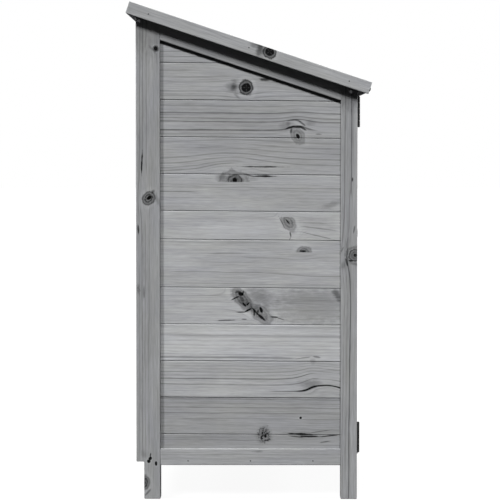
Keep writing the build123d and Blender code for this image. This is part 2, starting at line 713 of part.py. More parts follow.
def sliding_bolt():
    """Round bolt with a stub handle, drawn back into the right door."""
    bolt = Rot(0, 90, 0) * rod(BOLT_RADIUS, BOLT_LENGTH)
    bolt = Pos(BOLT_SETBACK, BOLT_Y, DOOR_MIDDLE) * bolt
    handle_x = BOLT_PLATE_START + STRAP_INSET + STRAP_WIDTH + BOLT_TRAVEL + 2 * BOLT_HANDLE_RADIUS
    stub = rod(BOLT_HANDLE_RADIUS, BOLT_RADIUS + BOLT_HANDLE_HEIGHT - BOLT_HANDLE_RADIUS)
    stub += Pos(0, 0, BOLT_RADIUS + BOLT_HANDLE_HEIGHT - BOLT_HANDLE_RADIUS) * Sphere(BOLT_HANDLE_RADIUS)
    return bolt + facing_front(handle_x, BOLT_Y, DOOR_MIDDLE) * stub


def keeper_half_tunnel():
    return BOLT_RADIUS + KEEPER_PLAY


def keeper_screw_places():
    rise = keeper_half_tunnel() + STRAP_THICKNESS + KEEPER_FOOT - SMALL_SCREW_INSET
    x = -(KEEPER_INSET + KEEPER_WIDTH / 2)
    return [facing_front(x, -STRAP_THICKNESS, DOOR_MIDDLE + z) for z in (-rise, rise)]


def bolt_keeper():
    """Strap on the left door that the bolt slides into."""
    crown = BOLT_RADIUS - BOLT_Y + KEEPER_PLAY
    keeper = strap(KEEPER_WIDTH, keeper_half_tunnel(), crown, KEEPER_FOOT)
    keeper = Pos(-KEEPER_INSET - KEEPER_WIDTH, 0, DOOR_MIDDLE) * keeper
    hole = screw_hole(SMALL_SCREW_HEAD_RADIUS, STRAP_THICKNESS)
    for place in keeper_screw_places():
        keeper -= place * hole
    return keeper


def door_screws(side):
    """Screws that go into one door: its hinge leaves, and the bolt plate or the keeper."""
    small = countersunk_screw(SMALL_SCREW_HEAD_RADIUS, SMALL_SCREW_LENGTH)
    places = bolt_plate_screw_places() if side == RIGHT else keeper_screw_places()
    return hinge_screws(side, -1) + [place * small for place in places]


def door_knob(side):
    """Low round knob on the meeting stile, turned in one piece with its neck."""
    neck = rod(KNOB_NECK_RADIUS, KNOB_NECK_HEIGHT)
    head = Pos(0, 0, KNOB_NECK_HEIGHT) * rod(KNOB_RADIUS, KNOB_HEIGHT - KNOB_NECK_HEIGHT)
    head = fillet(head.edges().filter_by(GeomType.CIRCLE), (KNOB_HEIGHT - KNOB_NECK_HEIGHT) * 0.4)
    x = side * (DOOR_INNER + DOOR_STILE / 2)
    return facing_front(x, 0, DOOR_MIDDLE + KNOB_RISE) * (neck + head)


def strike_plate(side):
    """Steel plate on the back of a door's top rail, facing its magnetic catch."""
    top = HEADER_BOTTOM - (CATCH_SECTION - STRIKE_HEIGHT) / 2
    return block(
        (side * CATCH_INSET, side * (CATCH_INSET + CATCH_LENGTH)),
        (DOOR_THICKNESS, DOOR_THICKNESS + STRIKE_THICKNESS),
        (top - STRIKE_HEIGHT, top),
    )


def magnet_catch(side):
    """Magnetic catch under the header."""
    front = DOOR_THICKNESS + STRIKE_THICKNESS + CATCH_GAP
    return block(
        (side * CATCH_INSET, side * (CATCH_INSET + CATCH_LENGTH)),
        (front, front + CATCH_SECTION),
        (HEADER_BOTTOM - CATCH_SECTION, HEADER_BOTTOM),
    )


# The pieces by name, one solid or a group of like solids each

pieces = {}
for name, side in (("left", LEFT), ("right", RIGHT)):
    pieces[f"{name}_front_post"] = front_post(side)
    pieces[f"{name}_rear_post"] = rear_post(side)
    pieces[f"{name}_bottom_rail"] = bottom_rail(side)
    pieces[f"{name}_top_rail"] = top_rail(side)
    pieces[f"{name}_side_boards"] = side_boards(side)
    pieces[f"{name}_floor_cleat"] = floor_cleat(side)
    pieces[f"{name}_shelf_cleat"] = shelf_cleat(side)
    pieces[f"{name}_barge_board"] = barge_board(side)
    pieces[f"{name}_roof_batten"] = roof_batten(side)
    pieces[f"{name}_post_hinge_leaves"] = hinge_leaves(side, 1)
    pieces[f"{name}_door_hinge_stile"] = hinge_stile(side)
    pieces[f"{name}_door_meeting_stile"] = meeting_stile(side)
    pieces[f"{name}_door_bottom_rail"] = door_rail(side, DOOR_BOTTOM, False, True)
    pieces[f"{name}_door_lock_rail"] = door_rail(side, DOOR_MIDDLE - DOOR_RAIL / 2, True, True)
    pieces[f"{name}_door_top_rail"] = door_rail(side, DOOR_TOP - DOOR_RAIL, True, False)
    pieces[f"{name}_door_boards"] = door_boards(side)
    pieces[f"{name}_door_hinge_leaves"] = hinge_leaves(side, -1)
    pieces[f"{name}_door_screws"] = door_screws(side)
    pieces[f"{name}_door_knob"] = door_knob(side)
    pieces[f"{name}_strike_plate"] = strike_plate(side)
pieces["front_header"] = front_header()
pieces["front_sill"] = front_sill()
pieces["back_top_rail"] = back_top_rail()
pieces["back_bottom_rail"] = back_bottom_rail()
pieces["back_boards"] = back_boards()
pieces["floor_boards"] = floor_boards()
pieces["shelf_boards"] = shelf_boards()
pieces["roof_deck_boards"] = deck_boards()
pieces["roof_felt"] = roof_felt()
pieces["rear_fascia"] = rear_fascia()
pieces["panel_pins"] = panel_pins()
pieces["felt_tacks"] = felt_tacks()
pieces["frame_screws"] = frame_screws()
pieces["post_hinge_screws"] = hinge_screws(LEFT, 1) + hinge_screws(RIGHT, 1)
pieces["hinge_pins"] = hinge_pins()
pieces["magnet_catches"] = [magnet_catch(LEFT), magnet_catch(RIGHT)]
pieces["bolt_plate"] = bolt_plate()
pieces["sliding_bolt"] = sliding_bolt()
pieces["bolt_keeper"] = bolt_keeper()

os.makedirs("parts", exist_ok=True)
to_origin = Pos(0, -DEPTH_CENTRE, 0)
for name, piece in pieces.items():
    solids = piece if isinstance(piece, list) else [piece]
    moved = [to_origin * solid for group in solids for solid in group.solids()]
    export_step(moved[0] if len(moved) == 1 else Compound(children=moved), f"parts/{name}.step")
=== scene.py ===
import itertools
import json
import math

import bmesh
import bpy
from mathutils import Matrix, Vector

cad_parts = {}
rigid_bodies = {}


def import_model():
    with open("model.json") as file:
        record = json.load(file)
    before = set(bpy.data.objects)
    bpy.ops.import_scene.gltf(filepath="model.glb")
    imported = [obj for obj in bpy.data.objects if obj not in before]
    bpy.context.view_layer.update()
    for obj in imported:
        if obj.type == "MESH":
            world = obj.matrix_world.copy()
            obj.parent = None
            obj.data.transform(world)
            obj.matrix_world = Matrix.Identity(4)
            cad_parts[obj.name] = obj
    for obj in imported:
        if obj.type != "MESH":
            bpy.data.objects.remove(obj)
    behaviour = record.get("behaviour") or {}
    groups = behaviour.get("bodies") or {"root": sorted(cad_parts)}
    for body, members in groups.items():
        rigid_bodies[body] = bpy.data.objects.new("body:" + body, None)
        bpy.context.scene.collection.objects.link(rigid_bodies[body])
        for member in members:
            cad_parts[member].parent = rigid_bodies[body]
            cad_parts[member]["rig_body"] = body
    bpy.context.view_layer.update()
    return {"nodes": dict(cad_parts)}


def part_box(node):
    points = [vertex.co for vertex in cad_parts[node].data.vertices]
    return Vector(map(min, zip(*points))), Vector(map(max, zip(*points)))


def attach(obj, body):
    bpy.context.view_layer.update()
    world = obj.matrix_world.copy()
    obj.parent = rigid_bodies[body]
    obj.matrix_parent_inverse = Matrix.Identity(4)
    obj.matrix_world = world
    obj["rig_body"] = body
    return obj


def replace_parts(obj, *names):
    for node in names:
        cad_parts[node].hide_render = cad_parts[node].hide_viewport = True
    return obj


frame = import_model()
nodes = frame["nodes"]

# Front posts: two square uprights of planed fir under a thin grey stain, from the ground to the roof.
# They are sawn to the roof's slope on top and grooved for the side boards, and their long edges are eased.
# The left one shows a black knot on its front edge, with the grain swirling round it.
MM = 0.001
UP = (0, 0, 1)
BACK = (0, 1, 0)
RIGHT = (1, 0, 0)


def wire(tree, kind, inputs=None, **settings):
    """A shader node with its settings, each input either linked or set to a value."""
    node = tree.nodes.new("ShaderNode" + kind)
    for name, value in settings.items():
        setattr(node, name, value)
    for name, value in (inputs or {}).items():
        if isinstance(value, bpy.types.NodeSocket):
            tree.links.new(value, node.inputs[name])
        else:
            node.inputs[name].default_value = value
    return node


def maths(tree, operation, *values):
    """The result of an operation on numbers."""
    return wire(tree, "Math", dict(enumerate(values)), operation=operation).outputs[0]


def product(tree, first, *others):
    """All the numbers multiplied together."""
    for other in others:
        first = maths(tree, "MULTIPLY", first, other)
    return first


def arrows(tree, operation, *values):
    """The result of an operation on vectors."""
    node = wire(tree, "VectorMath", dict(enumerate(values)), operation=operation)
    return node.outputs["Value" if operation in ("DOT_PRODUCT", "LENGTH") else "Vector"]


def turned(tree, arrow, angle):
    """A vector turned in the plane of a timber's face."""
    return wire(tree, "VectorRotate", {"Vector": arrow, "Angle": angle}, rotation_type="Z_AXIS").outputs[0]


def ease_between(tree, value, start, end, low=0.0, high=1.0):
    """A number that goes softly from low to high as the value goes from start to end."""
    span = {"Value": value, "From Min": start, "From Max": end, "To Min": low, "To Max": high}
    return wire(tree, "MapRange", span, interpolation_type="SMOOTHSTEP").outputs["Result"]


def band(tree, value, start, full, fades, end, height=1.0):
    """A number that rises from 0 to height between start and full, and falls again between fades and end."""
    rise = ease_between(tree, value, start, full)
    return product(tree, rise, ease_between(tree, value, fades, end, height, 0.0))


def cloud(tree, place, seed, size, detail=2.0):
    """Noise about 0, from -0.5 to 0.5, whose patches have the given sizes along the three axes of place."""
    scaled = arrows(tree, "MULTIPLY", place, [1 / s for s in size])
    moved = arrows(tree, "ADD", scaled, seed)
    noise = wire(tree, "TexNoise", {"Vector": moved, "Scale": 1.0, "Detail": detail})
    return maths(tree, "SUBTRACT", noise.outputs[0], 0.5)


def one_of(tree, number):
    """A number from 0 to 1 that depends on the given one."""
    return wire(tree, "TexWhiteNoise", {"W": number}, noise_dimensions="1D").outputs["Value"]


def own_seed(tree, board, steps):
    """A place in the noise that a board has to itself, some steps from the place of the board before."""
    thrice = wire(tree, "CombineXYZ", {axis: board for axis in range(3)}).outputs[0]
    return arrows(tree, "MULTIPLY", thrice, steps)


def group(name, takes, gives):
    """An empty node group, with the sockets that it takes and gives by kind."""
    tree = bpy.data.node_groups.new(name, "ShaderNodeTree")
    for sockets, way in ((takes, "INPUT"), (gives, "OUTPUT")):
        for kind, labels in sockets.items():
            for label in labels.split():
                tree.interface.new_socket(label, in_out=way, socket_type="NodeSocket" + kind)
    return tree, tree.nodes.new("NodeGroupInput").outputs, tree.nodes.new("NodeGroupOutput").inputs


def annual_rings():
    """Distance of a spot from the pith, in mm, as the tree grew: swaying along the timber, bent by knots."""
    sway_size = (300, 60, 60)  # mm along, across and through the grain, as for every cloud in the wood
    ripple_size = (70, 12, 12)
    ripple_height = 2.2
    patch_size = (170, 22, 22)
    tree, take, give = group(
        "annual_rings", {"Vector": "Place Pith", "Float": "Board Bend Sway"}, {"Float": "Ring Patch"}
    )
    seed = own_seed(tree, take["Board"], (3.71, 1.73, 5.37))
    sway = product(tree, cloud(tree, take["Place"], seed, sway_size), take["Sway"])
    ripple = product(tree, cloud(tree, take["Place"], seed, ripple_size), ripple_height)
    shift = maths(tree, "ADD", maths(tree, "ADD", sway, ripple), take["Bend"])
    bent = arrows(tree, "ADD", take["Place"], wire(tree, "CombineXYZ", {1: shift}).outputs[0])
    spoke = arrows(tree, "MULTIPLY", arrows(tree, "SUBTRACT", bent, take["Pith"]), (0, 1, 1))
    tree.links.new(arrows(tree, "LENGTH", spoke), give["Ring"])
    tree.links.new(cloud(tree, take["Place"], seed, patch_size), give["Patch"])
    return tree


def stained_face():
    """Stain over the rings: dark lines of latewood, fine fibres, streaks and clouds, knots and other marks,
    among them painted shade and painted highlights, and eased edges made lighter by wear and by painted light
    in their shade.
    """
    fibre_size = (28, 1.4, 1.4)
    streak_size = (95, 3.4, 3.4)
    cloud_size = (220, 40, 40)
    tint_size = (130, 30, 30)
    tint_amount = (0.04, 0.03, -0.07)
    tree, take, give = group(
        "stained_face",
        {"Vector": "Place", "Color": "Tone", "Float": "Ring Patch Board Pitch Lines Vary Mark Eased"},
        {"Color": "Color", "Float": "Height Roughness"},
    )
    seed = own_seed(tree, take["Board"], (7.13, 2.91, 4.57))
    years = maths(tree, "DIVIDE", take["Ring"], take["Pitch"])
    slow = maths(tree, "MULTIPLY_ADD", years, 0.31, product(tree, take["Board"], 7.7))
    weather = {"W": slow, "Scale": 1.0, "Detail": 1.0}
    uneven = wire(tree, "TexNoise", weather, noise_dimensions="1D").outputs[0]
    years = maths(tree, "MULTIPLY_ADD", uneven, 4.0, years)
    latewood = band(tree, maths(tree, "FRACT", years), 0.6, 0.94, 0.94, 1.0)
    year = maths(tree, "MULTIPLY_ADD", take["Board"], 13.1, maths(tree, "FLOOR", years))
    strength = maths(tree, "MULTIPLY_ADD", one_of(tree, year), 0.8, 0.2)
    patchy = ease_between(tree, take["Patch"], -0.2, 0.2, 0.3, 1.2)
    dark = product(tree, latewood, strength, patchy, take["Lines"])
    fibre = cloud(tree, take["Place"], seed, fibre_size, 3.0)
    streaky = cloud(tree, take["Place"], seed, streak_size, 4.0)
    soft = cloud(tree, take["Place"], seed, cloud_size)
    chance = one_of(tree, maths(tree, "ADD", take["Board"], 0.37))
    varied = product(tree, maths(tree, "SUBTRACT", chance, 0.5), take["Vary"])
    value = maths(tree, "SUBTRACT", 1.0, dark)
    shares = ((fibre, 0.55), (streaky, 0.45), (soft, 0.4), (varied, 0.25), (take["Eased"], 1.0))
    for share, amount in shares:
        value = product(tree, value, maths(tree, "MULTIPLY_ADD", share, amount, 1.0))
    value = product(tree, value, take["Mark"])
    drift = cloud(tree, take["Place"], seed, tint_size)
    thrice = wire(tree, "CombineXYZ", {axis: drift for axis in range(3)}).outputs[0]
    hue = arrows(tree, "MULTIPLY_ADD", thrice, tint_amount, (1, 1, 1))
    tone = arrows(tree, "MULTIPLY", take["Tone"], hue)
    colour = wire(tree, "VectorMath", {0: tone, "Scale": value}, operation="SCALE")
    tree.links.new(colour.outputs[0], give["Color"])
    tree.links.new(maths(tree, "ADD", fibre, streaky), give["Height"])
    tree.links.new(maths(tree, "MULTIPLY_ADD", fibre, 0.3, 0.68), give["Roughness"])
    return tree


def branch_in_wood():
    """A branch sawn through: a dark body with rings, a black core, a ring of bark, a pale rim and arcs of
    grain round it, shown only between two heights. Its heart is checked, and it pushes the grain aside."""
    outline_size = (14, 14, 14)
    speck_size = (3, 3, 3)
    push_shape = (0.385, 0.667, 1)  # 2.6 times as far as the knot along the grain, 1.5 times across it
    darkest = 0.98
    blur = 0.8  # mm, where a joint cuts the knot
    tree, take, give = group(
        "branch_in_wood",
        {"Vector": "Place Centre Reach", "Float": "Turn Dark Core Bark Swirl Push Lowest Highest"},
        {"Float": "Bend Mark"},
    )
    away = arrows(tree, "SUBTRACT", take["Place"], take["Centre"])
    near = arrows(tree, "DIVIDE", turned(tree, away, take["Turn"]), take["Reach"])
    wobble = cloud(tree, take["Place"], take["Centre"], outline_size)
    fine = cloud(tree, take["Place"], take["Centre"], speck_size, 3.0)
    rho = product(tree, arrows(tree, "LENGTH", near), maths(tree, "MULTIPLY_ADD", wobble, 0.6, 1.0))
    wide = arrows(tree, "LENGTH", arrows(tree, "MULTIPLY", near, push_shape))
    fall = maths(tree, "POWER", maths(tree, "MULTIPLY_ADD", wide, wide, 1.0), -2.0)
    rise = wire(tree, "SeparateXYZ", {0: away}).outputs["Y"]
    tree.links.new(product(tree, rise, fall, take["Push"], -1.0), give["Bend"])
    ripple = maths(tree, "SINE", product(tree, rho, 15.0))
    rings = maths(tree, "MULTIPLY_ADD", ripple, 0.2, maths(tree, "MULTIPLY_ADD", fine, 0.9, 0.82))
    ragged = maths(tree, "MULTIPLY_ADD", fine, 0.4, rho)
    deeper = ease_between(tree, rho, 0.2, 1.0, 1.2, 1.0)
    body = product(tree, ease_between(tree, ragged, 0.78, 1.12, 1.0, 0.0), rings, deeper, take["Dark"])
    sides = wire(tree, "SeparateXYZ", {0: arrows(tree, "ABSOLUTE", near)}).outputs
    check = ease_between(tree, maths(tree, "MINIMUM", sides["X"], sides["Y"]), 0.0, 0.1, 0.9, 1.0)
    core_start = product(tree, take["Core"], 0.75)
    core_end = maths(tree, "MULTIPLY_ADD", take["Core"], 1.1, 0.001)
    core = product(tree, ease_between(tree, rho, core_start, core_end, darkest, 0.0), check)
    edge = maths(tree, "MULTIPLY_ADD", fine, 0.2, rho)
    bark = product(tree, band(tree, edge, 0.7, 0.92, 0.95, 1.18), take["Bark"])
    crests = ease_between(tree, ripple, -0.3, 1.0)
    arcs = product(tree, band(tree, rho, 0.95, 1.15, 1.5, 2.7), crests, take["Swirl"])
    rim = product(tree, band(tree, rho, 1.0, 1.2, 1.35, 1.8, height=0.12), take["Dark"])
    dark = maths(tree, "MAXIMUM", maths(tree, "MAXIMUM", maths(tree, "MAXIMUM", body, core), bark), arcs)
    dark = maths(tree, "MINIMUM", dark, darkest)
    height = wire(tree, "SeparateXYZ", {0: take["Place"]}).outputs["Y"]
    shown = product(
        tree,
        ease_between(tree, maths(tree, "SUBTRACT", height, take["Lowest"]), -blur, blur),
        ease_between(tree, maths(tree, "SUBTRACT", take["Highest"], height), -blur, blur),
    )
    kept = maths(tree, "SUBTRACT", 1.0, product(tree, maths(tree, "SUBTRACT", dark, rim), shown))
    tree.links.new(maths(tree, "MAXIMUM", kept, 0.02), give["Mark"])
    return tree


def dark_streak():
    """A resin line that follows one ring for part of the timber's length."""
    outside, inside = -6.0, 28.0  # mm from its ends, over which it tapers
    swell_size = (35, 12, 12)
    least_width = 0.05
    tree, take, give = group(
        "dark_streak", {"Vector": "Place", "Float": "Ring Level From To Width Dark"}, {"Float": "Mark"}
    )
    along = wire(tree, "SeparateXYZ", {0: take["Place"]}).outputs["X"]
    start = ease_between(tree, maths(tree, "SUBTRACT", along, take["From"]), outside, inside)
    end = ease_between(tree, maths(tree, "SUBTRACT", take["To"], along), outside, inside)
    within = maths(tree, "MINIMUM", start, end)
    seed = wire(tree, "CombineXYZ", {0: take["Level"]}).outputs[0]
    swell = maths(tree, "MULTIPLY_ADD", cloud(tree, take["Place"], seed, swell_size), 1.3, 1.0)
    width = maths(tree, "ADD", product(tree, take["Width"], within, swell), least_width)
    off = maths(tree, "ABSOLUTE", maths(tree, "SUBTRACT", take["Ring"], take["Level"]))
    body = ease_between(tree, maths(tree, "DIVIDE", off, width), 0.15, 1.0, 1.0, 0.0)
    tree.links.new(maths(tree, "SUBTRACT", 1.0, product(tree, body, within, take["Dark"])), give["Mark"])
    return tree


def stain_and_painted_light_patch():
    """A darker or lighter patch: more or less stain, and also painted shade and painted highlights along
    edges and under parts; a crack where it is narrow and hard, and specks where it is rough."""
    ragged_size = (14, 7, 7)
    speck_size = (4, 5, 5)
    tree, take, give = group(
        "stain_and_painted_light_patch", {"Vector": "Place Centre Reach", "Float": "Turn Dark Hard Specks"}, {"Float": "Mark"}
    )
    away = arrows(tree, "MULTIPLY", arrows(tree, "SUBTRACT", take["Place"], take["Centre"]), (1, 1, 0))
    near = arrows(tree, "LENGTH", arrows(tree, "DIVIDE", turned(tree, away, take["Turn"]), take["Reach"]))
    ragged = cloud(tree, take["Place"], take["Centre"], ragged_size, 3.0)
    uneven = maths(tree, "MULTIPLY_ADD", ragged, 1.1, near)
    body = ease_between(tree, uneven, take["Hard"], 1.1, 1.0, 0.0)
    rough = cloud(tree, take["Place"], take["Centre"], speck_size, 3.0)
    grains = ease_between(tree, rough, -0.04, 0.05)
    broken = maths(tree, "MULTIPLY_ADD", maths(tree, "SUBTRACT", grains, 1.0), take["Specks"], 1.0)
    tree.links.new(maths(tree, "SUBTRACT", 1.0, product(tree, body, broken, take["Dark"])), give["Mark"])
    return tree


RINGS = annual_rings()
STAIN = stained_face()
BRANCH = branch_in_wood()
STREAK = dark_streak()
PATCH = stain_and_painted_light_patch()
PITH_BELOW = 1000.0  # mm under a face whose rings run straight along it
SIDE_END = 250  # mm from the middle of the shed to where the side boards end in the posts
FAR = 1e5


def knot(y, z, long, wide, turn=0, dark=0.6, core=0.0, bark=0.0, push=1.0, lowest=-FAR, highest=FAR):
    """A knot on a timber's face, at a depth and a height, with its half sizes along and across the grain, all
    in mm, and its turn in degrees."""
    def add(tree, place, on_face):
        return wire(tree, "Group", {
            "Place": place,
            "Centre": on_face(y, z),
            "Reach": (long, wide, 1.3 * max(long, wide)),
            "Turn": -math.radians(turn),
            "Dark": dark,
            "Core": core,
            "Bark": bark,
            "Push": push,
            "Lowest": lowest,
            "Highest": highest,
        }, node_tree=BRANCH).outputs
    return add


def swell(y, z, long, wide):
    """Grain that passes round a knot in another layer of the wood."""
    return knot(y, z, long, wide, dark=0)


def resin(level, width, dark, start=-SIDE_END, end=SIDE_END):
    """A dark line along the grain, with its level across the grain, its half width and its ends in mm."""
    def add(tree, place, ring, on_face):
        run = {"Place": place, "Ring": ring, "Level": level + PITH_BELOW, "From": start, "To": end}
        return wire(tree, "Group", {**run, "Width": width, "Dark": dark}, node_tree=STREAK).outputs["Mark"]
    return add


def patch(y, z, long, wide, turn=0, dark=0.3, hard=0.1, specks=0.0):
    """A darker place on a face, or a lighter one where dark is below 0, placed as a knot is."""
    def add(tree, place, ring, on_face):
        return wire(tree, "Group", {
            "Place": place,
            "Centre": on_face(y, z),
            "Reach": (long, wide, 1),
            "Turn": -math.radians(turn),
            "Dark": dark,
            "Hard": hard,
            "Specks": specks,
        }, node_tree=PATCH).outputs["Mark"]
    return add


def crack(y, z, long, wide, turn=0, dark=0.85):
    """A narrow patch with a hard edge."""
    return patch(y, z, long, wide, turn, dark, hard=0.5)


def knots_at_random(tree, place, board, stout):
    """Bend and mark of knots that come by chance: through a thin board, or inside a stout timber."""
    step = (150.0, 42.0, 42.0) if stout else (310.0, 74.0, FAR)
    smallest = 4.0
    growth = 6.0 if stout else 12.0
    seed = own_seed(tree, board, (3.37, 5.11, 2.23))
    cell = arrows(tree, "ADD", arrows(tree, "DIVIDE", place, step), seed)
    found = wire(tree, "TexVoronoi", {"Vector": cell, "Scale": 1.0}).outputs
    centre = arrows(tree, "MULTIPLY", arrows(tree, "SUBTRACT", found["Position"], seed), step)
    chance = wire(tree, "SeparateColor", {0: found["Color"]}).outputs
    size = maths(tree, "MULTIPLY_ADD", chance[2], growth, smallest)
    stretch = maths(tree, "MULTIPLY_ADD", chance[1], 0.6, 0.9)
    reach = {0: product(tree, size, stretch), 1: size, 2: size if stout else FAR * FAR}
    common = ease_between(tree, chance[0], 0.42, 0.5)
    made = wire(tree, "Group", {
        "Place": place,
        "Centre": centre,
        "Reach": wire(tree, "CombineXYZ", reach).outputs[0],
        "Dark": product(tree, common, maths(tree, "MULTIPLY_ADD", chance[1], 0.5, 0.45)),
        "Core": product(tree, common, ease_between(tree, chance[1], 0.3, 0.9, 0.0, 0.6)),
        "Bark": product(tree, common, ease_between(tree, chance[1], 0.5, 0.6, 0.0, 0.85)),
        "Swirl": product(tree, common, ease_between(tree, chance[0], 0.6, 1.0, 0.15, 0.5)),
        "Turn": maths(tree, "MULTIPLY_ADD", chance[0], 4.0, -3.0),
        "Push": 1.0,
        "Lowest": -FAR,
        "Highest": FAR,
    }, node_tree=BRANCH).outputs
    return made["Bend"], made["Mark"]


def grey(level):
    """The stain's colour where it looks as light as level, from 0 to 255: a grey with a little blue."""
    linear = ((level / 255 + 0.055) / 1.055) ** 2.4
    return 0.985 * linear, linear, 1.02 * linear, 1.0


def blank_material(name):
    """A new material and its node tree, still empty."""
    material = bpy.data.materials.new(name)
    material.use_nodes = True
    material.node_tree.nodes.clear()
    return material, material.node_tree


def fir(
    name, level, along, across, face=None, knots=(), marks=(), pitch=7.0, lines=0.45, sway=9.0, stout=False,
    wear_and_painted_light=0.08, shine=0.02,
):
    """Stained fir with its grain along one direction. With face, the X of a face in mm, its knots and marks
    lie on that face; without it, knots come at random. Its rings are pitch mm apart and sway by some mm.
    Eased edges that don't face up are painted lighter, partly for wear and partly for light in their shade,
    or darker where that share is below 0."""
    material, tree = blank_material(name)
    along = Vector(along)
    across = Vector(across)
    directions = (along, across, along.cross(across))
    board = wire(tree, "Attribute", attribute_name="board").outputs["Fac"]
    spot = wire(tree, "TexCoord").outputs["Object"]
    if face is None:
        middle = wire(tree, "Attribute", attribute_name="middle").outputs["Vector"]
        spot = arrows(tree, "SUBTRACT", spot, middle)
    axes = {i: arrows(tree, "DOT_PRODUCT", spot, axis / MM) for i, axis in enumerate(directions)}
    place = wire(tree, "CombineXYZ", axes).outputs[0]

    def on_face(y, z):
        return [Vector((face, y, z)) @ axis for axis in directions]

    if face is None:
        bend, mark = knots_at_random(tree, place, board, stout)
        draw = wire(tree, "TexWhiteNoise", {"W": board}, noise_dimensions="1D").outputs["Color"]
        pith = arrows(tree, "SUBTRACT", arrows(tree, "MULTIPLY", draw, (0, 120, 90)), (0, 60, 130))
    else:
        bend, mark = 0.0, 1.0
        pith = (0, -PITH_BELOW, on_face(0, 0)[2])
    for add in knots:
        made = add(tree, place, on_face)
        bend = maths(tree, "ADD", bend, made["Bend"])
        mark = product(tree, mark, made["Mark"])
    growth = {"Place": place, "Board": board, "Bend": bend, "Pith": pith, "Sway": sway}
    rings = wire(tree, "Group", growth, node_tree=RINGS).outputs
    for add in marks:
        mark = product(tree, mark, add(tree, place, rings["Ring"], on_face))
    stain = wire(tree, "Group", {
        "Place": place,
        "Board": board,
        "Tone": grey(level),
        "Pitch": pitch,
        "Lines": lines,
        "Mark": mark,
        "Vary": 1.0 if face is None else 0.0,
        "Ring": rings["Ring"],
        "Patch": rings["Patch"],
        "Eased": product(tree, wire(tree, "Attribute", attribute_name="eased").outputs["Fac"], wear_and_painted_light),
    }, node_tree=STAIN).outputs
    bump = wire(tree, "Bump", {"Strength": 0.45, "Distance": 0.5 * MM, "Height": stain["Height"]})
    skin = wire(tree, "BsdfPrincipled", {
        "Base Color": stain["Color"],
        "Roughness": stain["Roughness"],
        "Normal": bump.outputs[0],
        "Specular IOR Level": shine,
    })
    wire(tree, "OutputMaterial", {"Surface": skin.outputs[0]})
    return material


def placed(name, shape, materials):
    """An object in the scene, made from its shape."""
    mesh = bpy.data.meshes.new(name)
    shape.to_mesh(mesh)
    shape.free()
    for material in materials:
        mesh.materials.append(material)
    thing = bpy.data.objects.new(name, mesh)
    bpy.context.scene.collection.objects.link(thing)
    return thing


def fitted(name, shape, materials, body):
    """A piece of the shed from its shape: it moves with a body and takes its finish from a slot."""
    piece = placed(name, shape, materials)
    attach(piece, body)
    return piece


def ease_edges(shape, edges, width, segments):
    """Rounds edges of a shape, and gives the new faces along them."""
    made = bmesh.ops.bevel(
        shape, geom=edges, offset=width, offset_type="OFFSET", segments=segments, profile=0.5, affect="EDGES",
        clamp_overlap=True,
    )
    for face in made["faces"]:
        face.smooth = True
    return made["faces"]


def boards_in(shape):
    """The separate solids of a shape, each as its middle and its faces, from the lowest up."""
    for face in shape.faces:
        face.tag = False
    boards = []
    for first in shape.faces:
        if first.tag:
            continue
        first.tag = True
        board = [first]
        for face in board:
            for edge in face.edges:
                for other in edge.link_faces:
                    if not other.tag:
                        other.tag = True
                        board.append(other)
        corners = [v.co for face in board for v in face.verts]
        low = Vector(map(min, zip(*corners)))
        high = Vector(map(max, zip(*corners)))
        boards.append(((low + high) / 2, board))
    boards.sort(key=lambda b: (round(b[0].z, 4), round(b[0].y, 4), round(b[0].x, 4)))
    return boards


timber_numbers = itertools.count(1)
FLAT = math.radians(1)
SHARP = math.radians(25)
ROOM = 2.2  # least length of the edges beside one that is eased, against the width of its easing
FACES_UP = 0.1


def planed(node, materials, ease=1.2, settle=None):
    """The piece for a timber, or for a set of boards: its solids with the sharp edges eased by some mm.
    Boards are numbered from the lowest and take the materials in turn. Settle moves each of their points."""
    width = ease * MM
    shape = bmesh.new()
    shape.from_mesh(nodes[node].data)
    eased = shape.faces.layers.float.new("eased")
    number = shape.faces.layers.float.new("board")
    middle = shape.faces.layers.float_vector.new("middle")
    bmesh.ops.remove_doubles(shape, verts=shape.verts, dist=1e-6)
    bmesh.ops.dissolve_limit(shape, angle_limit=FLAT, verts=shape.verts[:], edges=shape.edges[:])
    roomy = []
    for edge in shape.edges:
        beside = [other.calc_length() for end in edge.verts for other in end.link_edges if other != edge]
        if edge.calc_face_angle(0) > SHARP and min(beside) > ROOM * width:
            roomy.append(edge)
    new_faces = ease_edges(shape, roomy, width, segments=2)
    shape.normal_update()
    for face in new_faces:
        # Eased faces that don't face up lie in shade; they are marked to be painted lighter there, partly as
        # wear.
        face[eased] = 0.0 if face.normal.z > FACES_UP else 1.0
    for place, (centre, board) in enumerate(boards_in(shape)):
        timber = next(timber_numbers)
        for face in board:
            face[number] = timber
            face[middle] = centre
            face.material_index = place % len(materials)
    if settle:
        for vert in shape.verts:
            vert.co = settle(vert.co)
    piece = fitted(node + "_planed", shape, materials, nodes[node]["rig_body"])
    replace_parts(piece, node)


